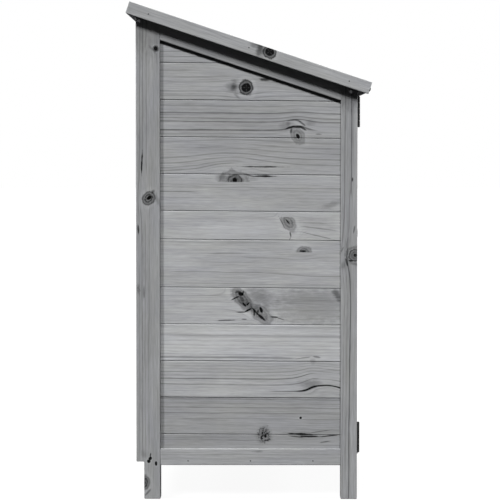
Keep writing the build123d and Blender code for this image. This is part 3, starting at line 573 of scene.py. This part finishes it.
POST_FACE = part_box("left_front_post")[0].x / MM
POST_EASE = 1.8
OFF_PLUMB = (0, 1, 0.0094)  # across the grain of the left front post, which leans a little
left_front_post_fir = fir(
    "left_front_post_fir", 145, UP, OFF_PLUMB, POST_FACE,
    knots=[
        knot(-246, 567, 13.5, 15.5, 0, 0.5, core=0.3, bark=0.75, push=0),
        knot(-247, 566.5, 21, 23, 0, 0.1, bark=0.42, push=0),
        swell(-248, 567, 18, 21),
    ],
    marks=[
        resin(-230.6, 1.9, 0.62, -20, 600),
        resin(-226, 1.7, 0.34, 596, 730),
        resin(-229, 1.9, 0.62, 690, 1000),
        resin(-214, 1.7, 0.42, 560, 1000),
        resin(-216, 1.3, 0.25, 20, 540),
        resin(-223, 1.2, 0.25, 30, 700),
        crack(-226.5, 550, 12, 3, 18, 0.75),
        crack(-227.5, 569, 14, 1.8, -19, 0.4),
        crack(-215.5, 580, 8, 2, -27, 0.35),
        patch(-219, 545, 14, 11, 0, 0.32),
        # Painted shade: the barge board's shadow carried lower down the top of the post.
        patch(-230, 936, 46, FAR, 0, 0.42),
        crack(-236, 554.5, 7, 2.4, 78, 0.85),
        crack(-227, 596, 22, 2.6, -8, 0.35),
        crack(-243, 626, 10, 2.2, -10, 0.55),
        crack(-239, 742.5, 6, 2.4, 0, 0.8),
    ],
    pitch=5.0, lines=0.3, sway=6.0,
)
upright_fir = fir("upright_fir", 148, UP, RIGHT, stout=True)
planed("left_front_post", [left_front_post_fir], POST_EASE)
planed("right_front_post", [upright_fir], POST_EASE)

# Rear posts: square uprights like the front ones, with a thin flange behind that covers the ends of the back
# boards. The flange stops above the ground, so that the post ends in a narrower foot with eased edges.
left_rear_post_fir = fir(
    "left_rear_post_fir", 143, UP, BACK, POST_FACE,
    knots=[
        knot(232, 698.5, 17.5, 13, -34, 0.72, bark=0.7, push=0),
        swell(233, 700, 16, 13.5),
        knot(231, 700, 6.8, 4.2, -48, 0.95, core=0.95, push=0),
        knot(215, 1044, 7.5, 7, 30, 0.9, core=0.75),
        knot(229.4, 94.6, 4.6, 3.8, -30, 0.95, core=0.95),
        knot(233, 88, 4.2, 4.6, -30, 0.95, core=0.95, push=0),
        knot(216, 82.5, 5.5, 3.2, 0, 0.95, core=0.9),
        knot(243, 38, 18, 13, 0, 0.72, push=0),
    ],
    marks=[
        patch(252, 600, 560, 11, 0, 0.1, 0.3),
        # Painted shade: the roof's shadow carried lower down the top of the post.
        patch(222, 1085, 80, FAR, 0, 0.28),
        patch(243, 104, 14, 10, 0, 0.3),
        patch(222, 713.5, 7, 5, -40, 0.6),
        patch(212, 696, 24, 7, 20, 0.3),
        crack(247.5, 780.5, 34, 2.3, -3, 0.95),
        crack(256, 627, 15, 2.4, 5, 0.85),
        patch(256, 488, 16, 6, 0, 0.55, 0.1, 0.5),
        crack(243, 482, 18, 1.8, 0, 0.5),
        patch(244, 38, 13, 4, 0, 0.45, 0.2),
        crack(229, 102, 7, 1.9, -10, 0.8),
        crack(235, 15, 13, 3, -40, 0.5),
        patch(222, 1041, 18, 4, 40, 0.4),
        resin(251, 1.6, 0.36, 640, 1130),
        resin(244, 1.5, 0.36, 790, 1130),
        resin(236, 1.5, 0.32, 740, 1130),
        resin(246, 1.6, 0.32, 90, 690),
        resin(239, 1.4, 0.24, 90, 660),
        resin(231, 1.5, 0.28, 110, 690),
        resin(253, 1.4, 0.28, 90, 560),
    ],
    pitch=7.0, lines=0.18, sway=13.0,
)
planed("left_rear_post", [left_rear_post_fir], POST_EASE)
planed("right_rear_post", [upright_fir], POST_EASE)

# Bottom and top rails: square timbers tenoned between the front and rear posts and grooved for the boards.
# The top rails follow the slope of the roof, and the bottom ones have an eased ledge under the lowest board.
deep_fir = fir("deep_fir", 150, BACK, UP)
deep_stout_fir = fir("deep_stout_fir", 150, BACK, UP, stout=True)
front_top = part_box("left_front_post")[1]
rear_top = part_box("left_rear_post")[1]
SLOPE = math.atan2(rear_top.z - front_top.z, rear_top.y - front_top.y)
UP_THE_SLOPE = (0, math.cos(SLOPE), math.sin(SLOPE))
SQUARE_TO_SLOPE = (0, -math.sin(SLOPE), math.cos(SLOPE))
LEDGE_EASE = 1.3
left_rail_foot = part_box("left_bottom_rail")[0].z / MM
left_rail_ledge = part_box("left_bottom_rail")[1].z / MM
left_bottom_rail_fir = fir(
    "left_bottom_rail_fir", 149, BACK, UP, POST_FACE,
    marks=[
        patch(-22, 111, 18, 3.5, 0, 0.35),
        resin(104, 1.4, 0.16),
        resin(94, 1.4, 0.14),
        resin(86, 1.2, 0.1, end=60),
        # Painted shade along the rail's lower edge.
        patch(0, left_rail_foot, FAR, 3.2, 0, 0.25, 0.3),
        # Painted highlight along the top of the ledge.
        patch(0, left_rail_ledge, FAR, 1.2, 0, -0.28, 0.5),
    ],
    pitch=6.0, lines=0.2, sway=4.0,
)
slope_fir = fir("slope_fir", 150, UP_THE_SLOPE, SQUARE_TO_SLOPE, stout=True)
# The left top rail is stained darker than the right, partly as painted shade below the barge board's shadow.
left_top_rail_fir = fir("left_top_rail_fir", 134, UP_THE_SLOPE, SQUARE_TO_SLOPE, POST_FACE, lines=0.2)
planed("left_bottom_rail", [left_bottom_rail_fir], LEDGE_EASE)
planed("right_bottom_rail", [deep_stout_fir], LEDGE_EASE)
planed("left_top_rail", [left_top_rail_fir])
planed("right_top_rail", [slope_fir])

# Side boards: twelve matched boards on each side, housed in the posts and rails, each a little out of level.
# They are knotty fir, and each board on the left has its own knots, resin lines, cracks and depth of stain.
# Painted shade darkens the boards along the front post, and the top rail's shadow is painted along its lower
# edge.
# Their eased edges that don't face up are painted lighter, partly as wear and partly as light in the joints'
# shade.
BOARD_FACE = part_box("left_side_boards")[0].x / MM
BOARD_EASE = 0.6
LEFT_BOARD_EASE = 0.45
LEAN = 0.010  # fall of the boards to their length, two thirds of the way up
LEAN_UP = (0, -LEAN, 1)
LEAN_AT_GROUND = 0.45  # as a share of that lean
LEAN_TO_A_METRE = 0.75
LOWERED = 3.5 * MM
SETTLE_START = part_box("left_bottom_rail")[1].z
SETTLE_OVER = 35 * MM
POST_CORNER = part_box("left_front_post")[1].y / MM


def settled(point):
    """Boards hang a little low and drop towards the doors, less near the bottom rail that bears them."""
    share = min(max((point.z - SETTLE_START) / SETTLE_OVER, 0), 1)
    lean = LEAN * (LEAN_AT_GROUND + LEAN_TO_A_METRE * point.z)
    return point + Vector((0, 0, share * (lean * point.y - LOWERED)))


left_board_firs = []


def side_board(level, wear_and_painted_light, marks, knots=()):
    """The fir of the next board up on the left side."""
    # Painted shade, as in a corner, along the front post where the boards meet it.
    painted_corner_shade = patch(POST_CORNER, 600, 3.2, FAR, 0, 0.4, 0.3)
    left_board_firs.append(fir(
        f"left_board_{len(left_board_firs)}_fir", level, BACK, LEAN_UP, BOARD_FACE, knots, [*marks, painted_corner_shade],
        pitch=7.0, lines=0.2, sway=4.0, wear_and_painted_light=wear_and_painted_light,
    ))


crumbled_knot = patch(-35, 148, 17, 23, 0, 0.95, 0.5, 1.0)
crack_over_joint = crack(-119, 150.2, 32, 2.7, 2, 0.95)
stain_by_crack = patch(-126, 149, 50, 9, 0, 0.36)
side_board(137, wear_and_painted_light=0.8, marks=[  # the lowest
    crumbled_knot,
    patch(-35, 147, 22, 24, 0, 0.45),
    crack_over_joint,
    crack(-140, 144.6, 27, 2.6, 0, 0.92),
    crack(-186, 146, 28, 1.8, -7, 0.85),
    crack(-110, 144, 20, 1.4, 6, 0.7),
    crack(-177, 132, 15, 1.6, -9, 0.6),
    stain_by_crack,
    resin(135, 1.6, 0.2, -60),
    resin(126, 1.4, 0.2, end=60),
    resin(141, 1.4, 0.16, 20),
])
side_board(143, wear_and_painted_light=0.5, knots=[knot(-120, 188, 3, 3, dark=0.95, core=0.9)], marks=[
    crumbled_knot,
    patch(-35, 152, 20, 22, 0, 0.45),
    crack_over_joint,
    crack(-163, 156, 30, 1.5, -9, 0.5),
    stain_by_crack,
    resin(232, 3.3, 0.3),
    resin(221, 1.9, 0.18),
    resin(212, 1.9, 0.28),
    resin(199, 1.9, 0.3),
    resin(186, 1.6, 0.24, end=172),
    resin(171, 1.4, 0.16, -26, 114),
    resin(176, 1.4, 0.2, end=-120),
    resin(162, 1.4, 0.2, end=-90),
])
feather_at_joint = crack(-128, 328, 20, 2, -8, 0.45)
feather_beyond = crack(-157, 330, 10, 2.4, 4, 0.5)
feather_heart = patch(-149, 320, 9, 10, 30, 0.28)
waves_by_post = [swell(-184, 234, 20, 31), knot(-146, 251, 12, 42, dark=0, push=0.4)]
side_board(158, wear_and_painted_light=-0.25, knots=waves_by_post, marks=[
    resin(309, 1.3, 0.24),
    resin(302, 1.2, 0.2),
    resin(294, 1.3, 0.26),
    resin(286, 1.2, 0.26),
    resin(278.5, 1.9, 0.6, -165),
    resin(265, 1.6, 0.42),
    resin(250, 2.3, 0.95, -270, -98),
    resin(250, 1.6, 0.6, -270, -40),
    feather_at_joint,
    feather_beyond,
    feather_heart,
    patch(102, 245, 140, 7, 0, -0.12, 0.2),
    patch(-142, 268, 36, 17, 0, 0.38),
])
side_board(172, wear_and_painted_light=0.1, marks=[
    resin(400, 4.7, 0.16),
    resin(380, 4.2, 0.2),
    resin(367, 1.9, 0.14),
    resin(357, 1.9, 0.15),
    resin(349, 1.9, 0.14),
    resin(335, 1.9, 0.18),
    resin(328, 3.7, 0.44, -119),
    feather_at_joint,
    feather_beyond,
    feather_heart,
])
double_knot = [
    knot(17, 466, 35, 16, 51, 0.55),
    knot(-27, 431, 34, 18, 42, 0.47),
    knot(19, 477, 6.5, 5, 30, 0.95, core=0.9, push=0),
    knot(-28, 440, 3.6, 7.5, -20, 0.95, core=0.9, push=0),
]
side_board(162, wear_and_painted_light=0.7, knots=double_knot, marks=[
    patch(16, 463, 20, 10, 60, 0.5),
    patch(-4, 449, 40, 20, 42, 0.38),
    patch(-40, 446, 30, 9, 52, 0.2),
    crack(25, 482, 9, 2.4, -15, 0.7),
    crack(14, 478, 3, 8, 10, 0.8),
    crack(11, 452, 7, 2.6, 50, 0.95),
    crack(3, 453, 6, 2.4, -45, 0.95),
    crack(20, 434.5, 13, 1.8, -2, 0.85),
    crack(2, 439, 13, 2.8, -28, 0.95),
    crack(-12, 439, 12, 2.8, 50, 0.9),
    crack(-12, 432, 2.6, 9, 0, 0.85),
    crack(-20, 434, 2.4, 9, 15, 0.8),
    crack(-28, 423, 16, 3.6, 41, 0.95),
    crack(32, 467, 12, 2.2, -28, 0.9),
    crack(-57, 423, 10, 2.2, 6, 0.85),
    crack(-73, 419, 13, 1.5, 18, 0.6),
    crack(11, 418, 8, 1.6, 0, 0.65),
    crack(53, 415.5, 26, 1.8, -2, 0.75),
    patch(-24, 471, 52, 26, 14, 0.42),
    patch(-150, 450, 125, 60, 0, 0.28, 0.3),
    patch(-204, 474, 22, 9, 65, 0.6, 0.2),
    resin(464, 3.5, 0.16, end=-60),
    resin(471, 1.9, 0.14, 44),
    resin(458, 1.9, 0.14, 40),
])
half_knot = [knot(-127, 573, 18, 15, -8, 0.55, lowest=574.5), swell(-177, 534, 33, 16)]
side_board(158, wear_and_painted_light=0.7, knots=half_knot, marks=[
    crack(-125, 576, 10, 2.4, 0, 0.95),
    resin(596, 2.1, 0.24, -88),
    resin(570, 2.1, 0.28, -2, 102),
    resin(560, 2.1, 0.2, end=21),
    resin(527, 2.3, 0.28, end=188),
    resin(501, 1.9, 0.26, end=195),
    patch(149, 550, 56, 23, 0, -0.08),
    patch(-165, 534, 42, 9, 0, -0.06),
])
side_board(164, wear_and_painted_light=0.5, knots=[knot(-91, 643, 25, 15, 55, 0.52, highest=656)], marks=[
    crack(-89, 645, 9, 2.2, 50, 0.85),
    crack(-76, 643, 18, 1.5, 62, 0.5),
    crack(-96, 615, 9, 2, 80, 0.75),
    crack(-95, 605, 6, 1.4, -70, 0.5),
    patch(-160, 641, 56, 1.6, 1, 0.28, 0.3),
    patch(-160, 629, 56, 1.8, 7, 0.36, 0.3),
    patch(-158, 612, 50, 1.8, 13, 0.42, 0.3),
    resin(650, 1.4, 0.18, end=-109),
    resin(650, 1.4, 0.14, -72),
    patch(30, 627, 100, 27, 0, -0.07),
    patch(-160, 636, 60, 28, 0, 0.1),
])
dome_over_joint = knot(35, 736.5, 34, 26.5, 0, 0.45, bark=0.4, push=0, lowest=736)
dome_rings = knot(33, 738, 17, 15.5, 0, 0.55, bark=0.7, push=0, lowest=736)
dome_heart = knot(33, 740, 5.5, 6.5, dark=0.95, core=0.95, push=0, lowest=736)
side_board(156, wear_and_painted_light=0.6, knots=[dome_over_joint, dome_rings, dome_heart], marks=[
    crack(-33, 749.8, 36, 2.8, 0, 0.95),
    crack(2, 752.5, 18, 1.8, 14, 0.8),
    patch(65, 747, 20, 13, 0, 0.32),
    patch(-7, 743, 17, 7, 0, 0.26),
    resin(723, 1.6, 0.28),
    resin(712, 1.9, 0.42, 114),
    resin(718, 1.4, 0.18, -119, 102),
    resin(730, 1.4, 0.2, -188),
    resin(699, 1.9, 0.14),
    patch(-190, 683, 38, 10, -22, 0.28),
])
knot_over_joint = knot(-113, 844, 21.5, 14.5, 62, 0.38, bark=0.3, push=0)
knot_heart = knot(-113, 842, 6.5, 3.8, 60, 0.95, core=0.95, push=0)
over_dome = swell(40, 742, 38, 41)
side_board(152, wear_and_painted_light=0.7, knots=[dome_over_joint, knot_over_joint, knot_heart, over_dome], marks=[
    crack(-34, 771.5, 56, 2, 0, 0.85),
    resin(760, 2, 0.34, 20),
    resin(766, 1.7, 0.26, 0),
    resin(825, 3, 0.22),
    resin(813, 2, 0.22, end=10),
    resin(788, 2.1, 0.32),
    resin(776, 1.9, 0.32),
    resin(806, 5.1, 0.15, 44, 137),
    resin(801, 1.9, 0.24, end=70),
])
# Painted shadow that the top rail's lower edge casts on the highest boards.
painted_rail_shadow = patch(-4, 990.7, FAR, 4.4, math.degrees(SLOPE) - 0.7, 0.76, 0.6)
side_board(150, wear_and_painted_light=0.8, knots=[knot_over_joint, knot_heart, swell(-113, 840, 11, 24)], marks=[
    resin(912, 2.1, 0.24),
    resin(895, 2.6, 0.5),
    resin(890, 2, 0.3, 90),
    resin(883, 1.9, 0.4),
    resin(875, 2.3, 0.5),
    resin(856, 2.8, 0.6, -165),
    crack(-95, 862.5, 13, 2.8, -18, 0.85),
    crack(-112, 864, 16, 3, 2, 0.9),
    crack(-125, 860.5, 10, 2.6, 30, 0.8),
    crack(-101, 879.5, 18, 2.2, -5, 0.6),
    crack(-114, 877.5, 9, 2, 14, 0.55),
    crack(-121, 873.5, 13, 2.4, 38, 0.6),
    patch(-112, 871, 14, 3.4, 12, -0.2, 0.2),
    patch(-97.5, 855, 3.6, 11, 6, 0.72, 0.2),
    patch(-91, 872, 7, 9, 0, 0.32),
    patch(-85, 866, 24, 15, 0, 0.26),
    patch(-141, 872, 18, 9, 0, 0.28),
    resin(848, 1.9, 0.2, -84),
    crack(-160, 847, 8, 1.8, 0, 0.45),
    painted_rail_shadow,
])
side_board(152, wear_and_painted_light=1.0, knots=[knot(6, 954.5, 16, 16.5, dark=0.9, core=0.8, bark=0.86)], marks=[
    crack(-35, 973.5, 15, 4.4, 4, 0.85),
    resin(993, 5.6, 0.16, 126),
    resin(978, 2.3, 0.22, 33),
    resin(967, 4.5, 0.14, 40),
    resin(946, 1.9, 0.24),
    resin(936, 2.1, 0.3),
    patch(36, 958, 9.5, 17, 0, 0.66),
    patch(29, 955, 10, 24, 0, 0.3),
    patch(44, 956, 17, 15, 0, 0.34),
    patch(27, 934, 12, 4, 40, 0.35),
    painted_rail_shadow,
])
side_board(150, wear_and_painted_light=0.3, marks=[  # the highest, sawn to the slope of the roof
    resin(1036, 2.3, 0.16, 114),
    resin(1024, 2.1, 0.16, 79),
    painted_rail_shadow,
])
planed("left_side_boards", left_board_firs, LEFT_BOARD_EASE, settled)
planed("right_side_boards", [deep_fir], BOARD_EASE)

# Header, sill and back rails: square timbers across the shed between the posts, at the front and the back.
# The header is planed to the slope of the roof, and the doors close against it and the sill.
wide_fir = fir("wide_fir", 150, RIGHT, UP)
wide_stout_fir = fir("wide_stout_fir", 150, RIGHT, UP, stout=True)
for node in ("front_header", "front_sill", "back_top_rail", "back_bottom_rail"):
    planed(node, [wide_stout_fir])

# Back boards: twelve matched boards across the back, of the same knotty fir as the sides.
# They are nailed to the back rails and lie between the flanges of the rear posts.
planed("back_boards", [wide_fir], BOARD_EASE)

# Floor: matched fir boards across the shed, face up, between the sill and the back bottom rail.
# They lie on two cleats, which are pinned along the feet of the bottom rails.
CLEAT_EASE = 0.8
floor_fir = fir("floor_fir", 150, RIGHT, BACK)
for node in ("left_floor_cleat", "right_floor_cleat"):
    planed(node, [deep_stout_fir], CLEAT_EASE)
planed("floor_boards", [floor_fir], BOARD_EASE)

# Shelf: four spaced fir boards across the back half of the shed, with eased edges.
# They lie on two cleats that run between the posts on each side.
SHELF_EASE = 1.0
for node in ("left_shelf_cleat", "right_shelf_cleat"):
    planed(node, [deep_stout_fir], CLEAT_EASE)
planed("shelf_boards", [floor_fir], SHELF_EASE)

# Roof timbers: battens inside the top rails, six matched boards across the slope, and a fascia behind them.
# Two barge boards are pinned along the edges of the deck, and the left one has a black knot.
BARGE_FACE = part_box("left_barge_board")[0].x / MM
left_barge_fir = fir(
    "left_barge_fir", 153, UP_THE_SLOPE, SQUARE_TO_SLOPE, BARGE_FACE,
    knots=[knot(-47.5, 1036, 15.5, 15.5, dark=0.86, core=0.8, turn=35, bark=0.84)],
    marks=[
        patch(-25, 1043, 10, 22, 0, 0.66),
        patch(-25, 1051, 15, 4.5, 0, 0.6),
        patch(-30, 1037, 15, 24, 0, 0.4),
        patch(-12, 1050, 15, 9, 0, 0.4),
    ],
    pitch=6.0, lines=0.2, sway=4.0,
)
deck_fir = fir("deck_fir", 150, RIGHT, SQUARE_TO_SLOPE, shine=0.0)
for node in ("left_roof_batten", "right_roof_batten"):
    planed(node, [slope_fir], CLEAT_EASE)
planed("roof_deck_boards", [deck_fir], BOARD_EASE)
planed("rear_fascia", [deck_fir])
planed("left_barge_board", [left_barge_fir])
planed("right_barge_board", [slope_fir])

# Roof felt: one sheet of bitumen felt, faced with fine mineral grit, over the deck between the barge boards.
# It is folded round the front edge of the deck and back under it, and is tacked down all round.
GRAINS = 700.0  # to a metre
FADED_SIZE = (0.2, 0.12, 0.12)  # metres
FELT, tree = blank_material("gritty_felt")
spot = wire(tree, "TexCoord").outputs["Object"]
grit = wire(tree, "TexVoronoi", {"Vector": spot, "Scale": GRAINS}).outputs
shade = wire(tree, "SeparateColor", {0: grit["Color"]}).outputs[0]
faded = cloud(tree, spot, (0, 0, 0), FADED_SIZE)
grain = maths(tree, "MULTIPLY_ADD", shade, 0.05, 0.02)
tone = product(tree, grain, maths(tree, "MULTIPLY_ADD", faded, 0.8, 1.0))
colour = wire(tree, "CombineColor", {0: tone, 1: tone, 2: product(tree, tone, 1.06)}).outputs[0]
relief = {"Strength": 0.8, "Distance": 0.6 * MM, "Height": grit["Distance"]}
skin = wire(tree, "BsdfPrincipled", {
    "Base Color": colour,
    "Roughness": maths(tree, "MULTIPLY_ADD", shade, 0.2, 0.75),
    "Normal": wire(tree, "Bump", relief, invert=True).outputs[0],
    "Specular IOR Level": 0.05,
})
wire(tree, "OutputMaterial", {"Surface": skin.outputs[0]})


def dress(node, material):
    """Gives a material to a piece that keeps the shape it was built with."""
    for slot in nodes[node].material_slots:
        slot.material = material


dress("roof_felt", FELT)

# Tacks, panel pins and frame screws: plated steel, dulled by the weather. The tacks hold the edges of the
# felt, the pins the barge boards and the floor cleats, and the screws the tops of the posts.
SCRATCH = 0.5 * MM


def handled(name, colour, metallic, roughness, wear, size, shine=0.5):
    """Metal, paint or plastic, finely scratched: colour and roughness vary by wear, in patches of size mm."""
    material, tree = blank_material(name)
    spot = wire(tree, "TexCoord").outputs["Object"]
    wear_and_painted_light = cloud(tree, spot, (0, 0, 0), [size * MM] * 3, 3.0)
    fine = cloud(tree, spot, (5, 5, 5), [SCRATCH] * 3)
    level = maths(tree, "MULTIPLY_ADD", wear_and_painted_light, wear, 1.0)
    bump = wire(tree, "Bump", {"Strength": 0.3, "Distance": 0.1 * MM, "Height": fine})
    skin = wire(tree, "BsdfPrincipled", {
        "Base Color": wire(tree, "VectorMath", {0: colour, "Scale": level}, operation="SCALE").outputs[0],
        "Metallic": metallic,
        "Roughness": maths(tree, "MULTIPLY_ADD", wear_and_painted_light, wear * 0.5, roughness),
        "Normal": bump.outputs[0],
        "Specular IOR Level": shine,
    })
    wire(tree, "OutputMaterial", {"Surface": skin.outputs[0]})
    return material


ZINC = handled("dull_zinc", (0.2, 0.205, 0.21), 0.6, 0.5, wear=0.5, size=6.0)
PIN_STEEL = handled("dull_pin_heads", (0.03, 0.03, 0.031), 0.3, 0.6, wear=0.5, size=4.0, shine=0.3)
SCREW_STEEL = handled("dull_screw_heads", (0.11, 0.11, 0.115), 0.5, 0.5, wear=0.5, size=4.0, shine=0.3)
dress("felt_tacks", ZINC)
dress("panel_pins", PIN_STEEL)
dress("frame_screws", SCREW_STEEL)

# Doors: two framed leaves of planed fir, each of two stiles and three rails tenoned together.
# Matched boards are housed in the two fields of each leaf, below and above its lock rail.
for side in ("left", "right"):
    for part in ("hinge_stile", "meeting_stile"):
        planed(f"{side}_door_{part}", [upright_fir])
    for part in ("bottom_rail", "lock_rail", "top_rail"):
        planed(f"{side}_door_{part}", [wide_fir])
    planed(f"{side}_door_boards", [wide_fir], BOARD_EASE)

# Hinges: pressed butt hinges of black painted steel, two to a door, with headed pins through the knuckles.
# Their leaves are screwed on the faces of the front posts and of the doors.
BLACK = handled("black_paint_on_steel", (0.007, 0.007, 0.0075), 0.0, 0.55, wear=0.6, size=9.0, shine=0.2)
for side in ("left", "right"):
    for part in ("post_hinge_leaves", "door_hinge_leaves", "door_screws"):
        dress(f"{side}_{part}", BLACK)
for node in ("hinge_pins", "post_hinge_screws"):
    dress(node, BLACK)

# Knobs and bolt: a knob turned in one piece on each meeting stile, and a round bolt across the lock rails.
# The bolt slides in straps on the right door's plate, into a keeper on the left door. All are painted black.
for node in ("left_door_knob", "right_door_knob", "bolt_plate", "sliding_bolt", "bolt_keeper"):
    dress(node, BLACK)

# Catches: two magnets in moulded plastic cases, screwed up under the header by an ear at each end.
# Steel poles stand a little proud of each case and hold a zinc-plated strike plate on the back of each door.
CASE = handled("moulded_case", (0.5, 0.5, 0.48), 0.0, 0.6, wear=0.15, size=8.0)
CATCH_INSET = 6 * MM  # from the middle of the shed
CASE_EASE = 1.2 * MM
EAR_LONG = 7.5 * MM
EAR_THICK = 3.5 * MM
EAR_FROM_FRONT = 3 * MM
EAR_FROM_BACK = 1 * MM
EAR_EASE = 0.8 * MM
POLE_PROUD = 1.0 * MM
POLE_THICK = 1.4 * MM
POLE_DEEP = 4 * MM
POLE_FROM_ENDS = 3 * MM  # of the case
POLE_FROM_FACE = 2.6 * MM
PLATE_THICK = 0.75 * MM
STEEL_EASE = 0.3 * MM
EAR_SCREW_RADIUS = 2.9 * MM
EAR_SCREW_HEIGHT = 1.8 * MM
PLATE_SCREW_RADIUS = 2.6 * MM
PLATE_SCREW_INSET = 6 * MM


def eased_block(shape, low, high, ease):
    """Adds a block between two corners, with all its edges rounded."""
    corners = bmesh.ops.create_cube(shape, size=1.0)["verts"]
    for corner in corners:
        corner.co = [a + (b - a) * (share + 0.5) for a, b, share in zip(low, high, corner.co)]
    edges = dict.fromkeys(edge for corner in corners for edge in corner.link_edges)
    ease_edges(shape, list(edges), ease, segments=3)


def screw_head(shape, seat, towards, radius, height):
    """Adds a pan head on its seat, with a hollow for the driver."""
    sides = 20
    profile = ((1.0, 0.0), (1.0, 0.4), (0.86, 0.8), (0.55, 1.0), (0.42, 0.95), (0.34, 0.4), (0.0, 0.35))
    turn = Vector(towards).to_track_quat("Z", "Y")
    rows = []
    for share, rise in profile:
        count = sides if share else 1
        row = []
        for step in range(count):
            angle = 2 * math.pi * step / count
            spot = Vector((radius * share * math.cos(angle), radius * share * math.sin(angle), height * rise))
            row.append(shape.verts.new(Vector(seat) + turn @ spot))
        rows.append(row)
    for outer, inner in zip(rows, rows[1:]):
        for step in range(len(outer)):
            after = (step + 1) % len(outer)
            corners = [outer[step], outer[after]]
            corners += [inner[after], inner[step]] if len(inner) > 1 else inner
            shape.faces.new(corners).smooth = True
    shape.faces.new(rows[0][::-1])


low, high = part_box("magnet_catches")
ear_foot = high.z - EAR_THICK
ear_front = low.y + EAR_FROM_FRONT
ear_back = high.y - EAR_FROM_BACK
cases = bmesh.new()
poles = bmesh.new()
heads = bmesh.new()
for side in (-1, 1):
    start, end = sorted((side * CATCH_INSET, side * high.x))
    case_start = start + EAR_LONG
    case_end = end - EAR_LONG
    eased_block(cases, (case_start, low.y + POLE_PROUD, low.z), (case_end, high.y, high.z), CASE_EASE)
    eased_block(cases, (start, ear_front, ear_foot), (end, ear_back, high.z), EAR_EASE)
    for foot in (low.z + POLE_FROM_FACE, high.z - POLE_FROM_FACE - POLE_THICK):
        pole_low = (case_start + POLE_FROM_ENDS, low.y, foot)
        pole_high = (case_end - POLE_FROM_ENDS, low.y + POLE_DEEP, foot + POLE_THICK)
        eased_block(poles, pole_low, pole_high, STEEL_EASE)
    for x in (start + EAR_LONG / 2, end - EAR_LONG / 2):
        seat = (x, (ear_front + ear_back) / 2, ear_foot)
        screw_head(heads, seat, (0, 0, -1), EAR_SCREW_RADIUS, EAR_SCREW_HEIGHT)
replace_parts(fitted("catch_cases", cases, [CASE], "shed"), "magnet_catches")
fitted("catch_poles", poles, [ZINC], "shed")
fitted("catch_screws", heads, [ZINC], "shed")
for side in ("left", "right"):
    node = f"{side}_strike_plate"
    low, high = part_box(node)
    face = low.y + PLATE_THICK
    plate = bmesh.new()
    eased_block(plate, low, (high.x, face, high.z), STEEL_EASE)
    for x in (low.x + PLATE_SCREW_INSET, high.x - PLATE_SCREW_INSET):
        screw_head(plate, (x, face, (low.z + high.z) / 2), BACK, PLATE_SCREW_RADIUS, high.y - face)
    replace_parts(fitted(node + "_pressed", plate, [ZINC], f"{side}_door"), node)

# Studio floor: a wide pale sheet under the shed, which shows as white, like the air behind it.
# Its dull face carries only the shed's faint shadow, and throws no light back up.
FLOOR_SIZE = 30.0
FLOOR_GLOW = 0.93
FLOOR_GREY = 0.07
PALE, tree = blank_material("pale_sheet")


def seen_directly(tree):
    """1 for what the eye sees, straight or in a reflection or through glass, and 0 for light on its way."""
    ways = wire(tree, "LightPath").outputs
    seen = maths(tree, "MAXIMUM", ways["Is Camera Ray"], ways["Is Glossy Ray"])
    return maths(tree, "MAXIMUM", seen, ways["Is Transmission Ray"])


glow = wire(tree, "Emission", {"Strength": product(tree, seen_directly(tree), FLOOR_GLOW)})
matt = wire(tree, "BsdfDiffuse", {"Color": (FLOOR_GREY, FLOOR_GREY, FLOOR_GREY, 1)})
both = wire(tree, "AddShader", {0: glow.outputs[0], 1: matt.outputs[0]})
wire(tree, "OutputMaterial", {"Surface": both.outputs[0]})
sheet = bmesh.new()
bmesh.ops.create_grid(sheet, x_segments=8, y_segments=8, size=FLOOR_SIZE)
floor = placed("studio_floor", sheet, [PALE])
floor.visible_diffuse = False

# Studio light: six soft lamps, each with the direction to it, its strength and its apparent width in degrees.
# The key and side lamps light the left side as in the photograph, and the others light the rest evenly.
# The air shows white behind the shed and adds a little light from all round.
AIR_LIGHT = 0.05
LAMPS = {
    "key": ((-1, 0.8, 1.03), 2.35, 9),
    "side": ((-1, 0, 0.76), 2.11, 15),
    "top": ((0, 0, 1), 1.4, 20),
    "front": ((0.15, -1, 0.45), 3.1, 20),
    "far": ((1, 0.3, 0.7), 2.9, 15),
    "rear": ((0.2, 1, 0.4), 2.3, 20),
}
for name, (towards, strength, width) in LAMPS.items():
    lamp = bpy.data.lights.new(name, "SUN")
    lamp.energy = strength
    lamp.angle = math.radians(width)
    light = bpy.data.objects.new(name, lamp)
    light.rotation_euler = Vector(towards).to_track_quat("Z", "Y").to_euler()
    bpy.context.scene.collection.objects.link(light)
world = bpy.data.worlds.new("studio")
bpy.context.scene.world = world
world.use_nodes = True
tree = world.node_tree
tree.nodes.clear()
brightness = maths(tree, "MAXIMUM", seen_directly(tree), AIR_LIGHT)
air = wire(tree, "Background", {"Color": (1, 1, 1, 1), "Strength": brightness})
wire(tree, "OutputWorld", {"Surface": air.outputs[0]})
bpy.context.scene.view_settings.view_transform = "Standard"

# Camera: five metres from the left side, a little below the eaves, looking slightly down and back.
# It has a long lens, which is shifted so that the whole height of the shed fills the picture.
DISTANCE = 5.0
EYE_DEPTH = -0.036
EYE_HEIGHT = 0.84
PITCH_DOWN = math.radians(2.323)
TURN_BACK = math.radians(0.3857)
SHIFT = -0.05
IMAGE = 500.0
FOCAL = 2164.7  # in pixels of the image
lens = bpy.data.cameras.new("camera")
lens.sensor_width = 36.0
lens.lens = FOCAL * lens.sensor_width / IMAGE
lens.shift_y = SHIFT
camera = bpy.data.objects.new("camera", lens)
camera.location = (POST_FACE * MM - DISTANCE, EYE_DEPTH, EYE_HEIGHT)
ahead = Vector((
    math.cos(PITCH_DOWN) * math.cos(TURN_BACK),
    math.cos(PITCH_DOWN) * math.sin(TURN_BACK),
    -math.sin(PITCH_DOWN),
))
camera.rotation_euler = ahead.to_track_quat("-Z", "Y").to_euler()
bpy.context.scene.collection.objects.link(camera)
bpy.context.scene.camera = camera

bpy.context.view_layer.update()
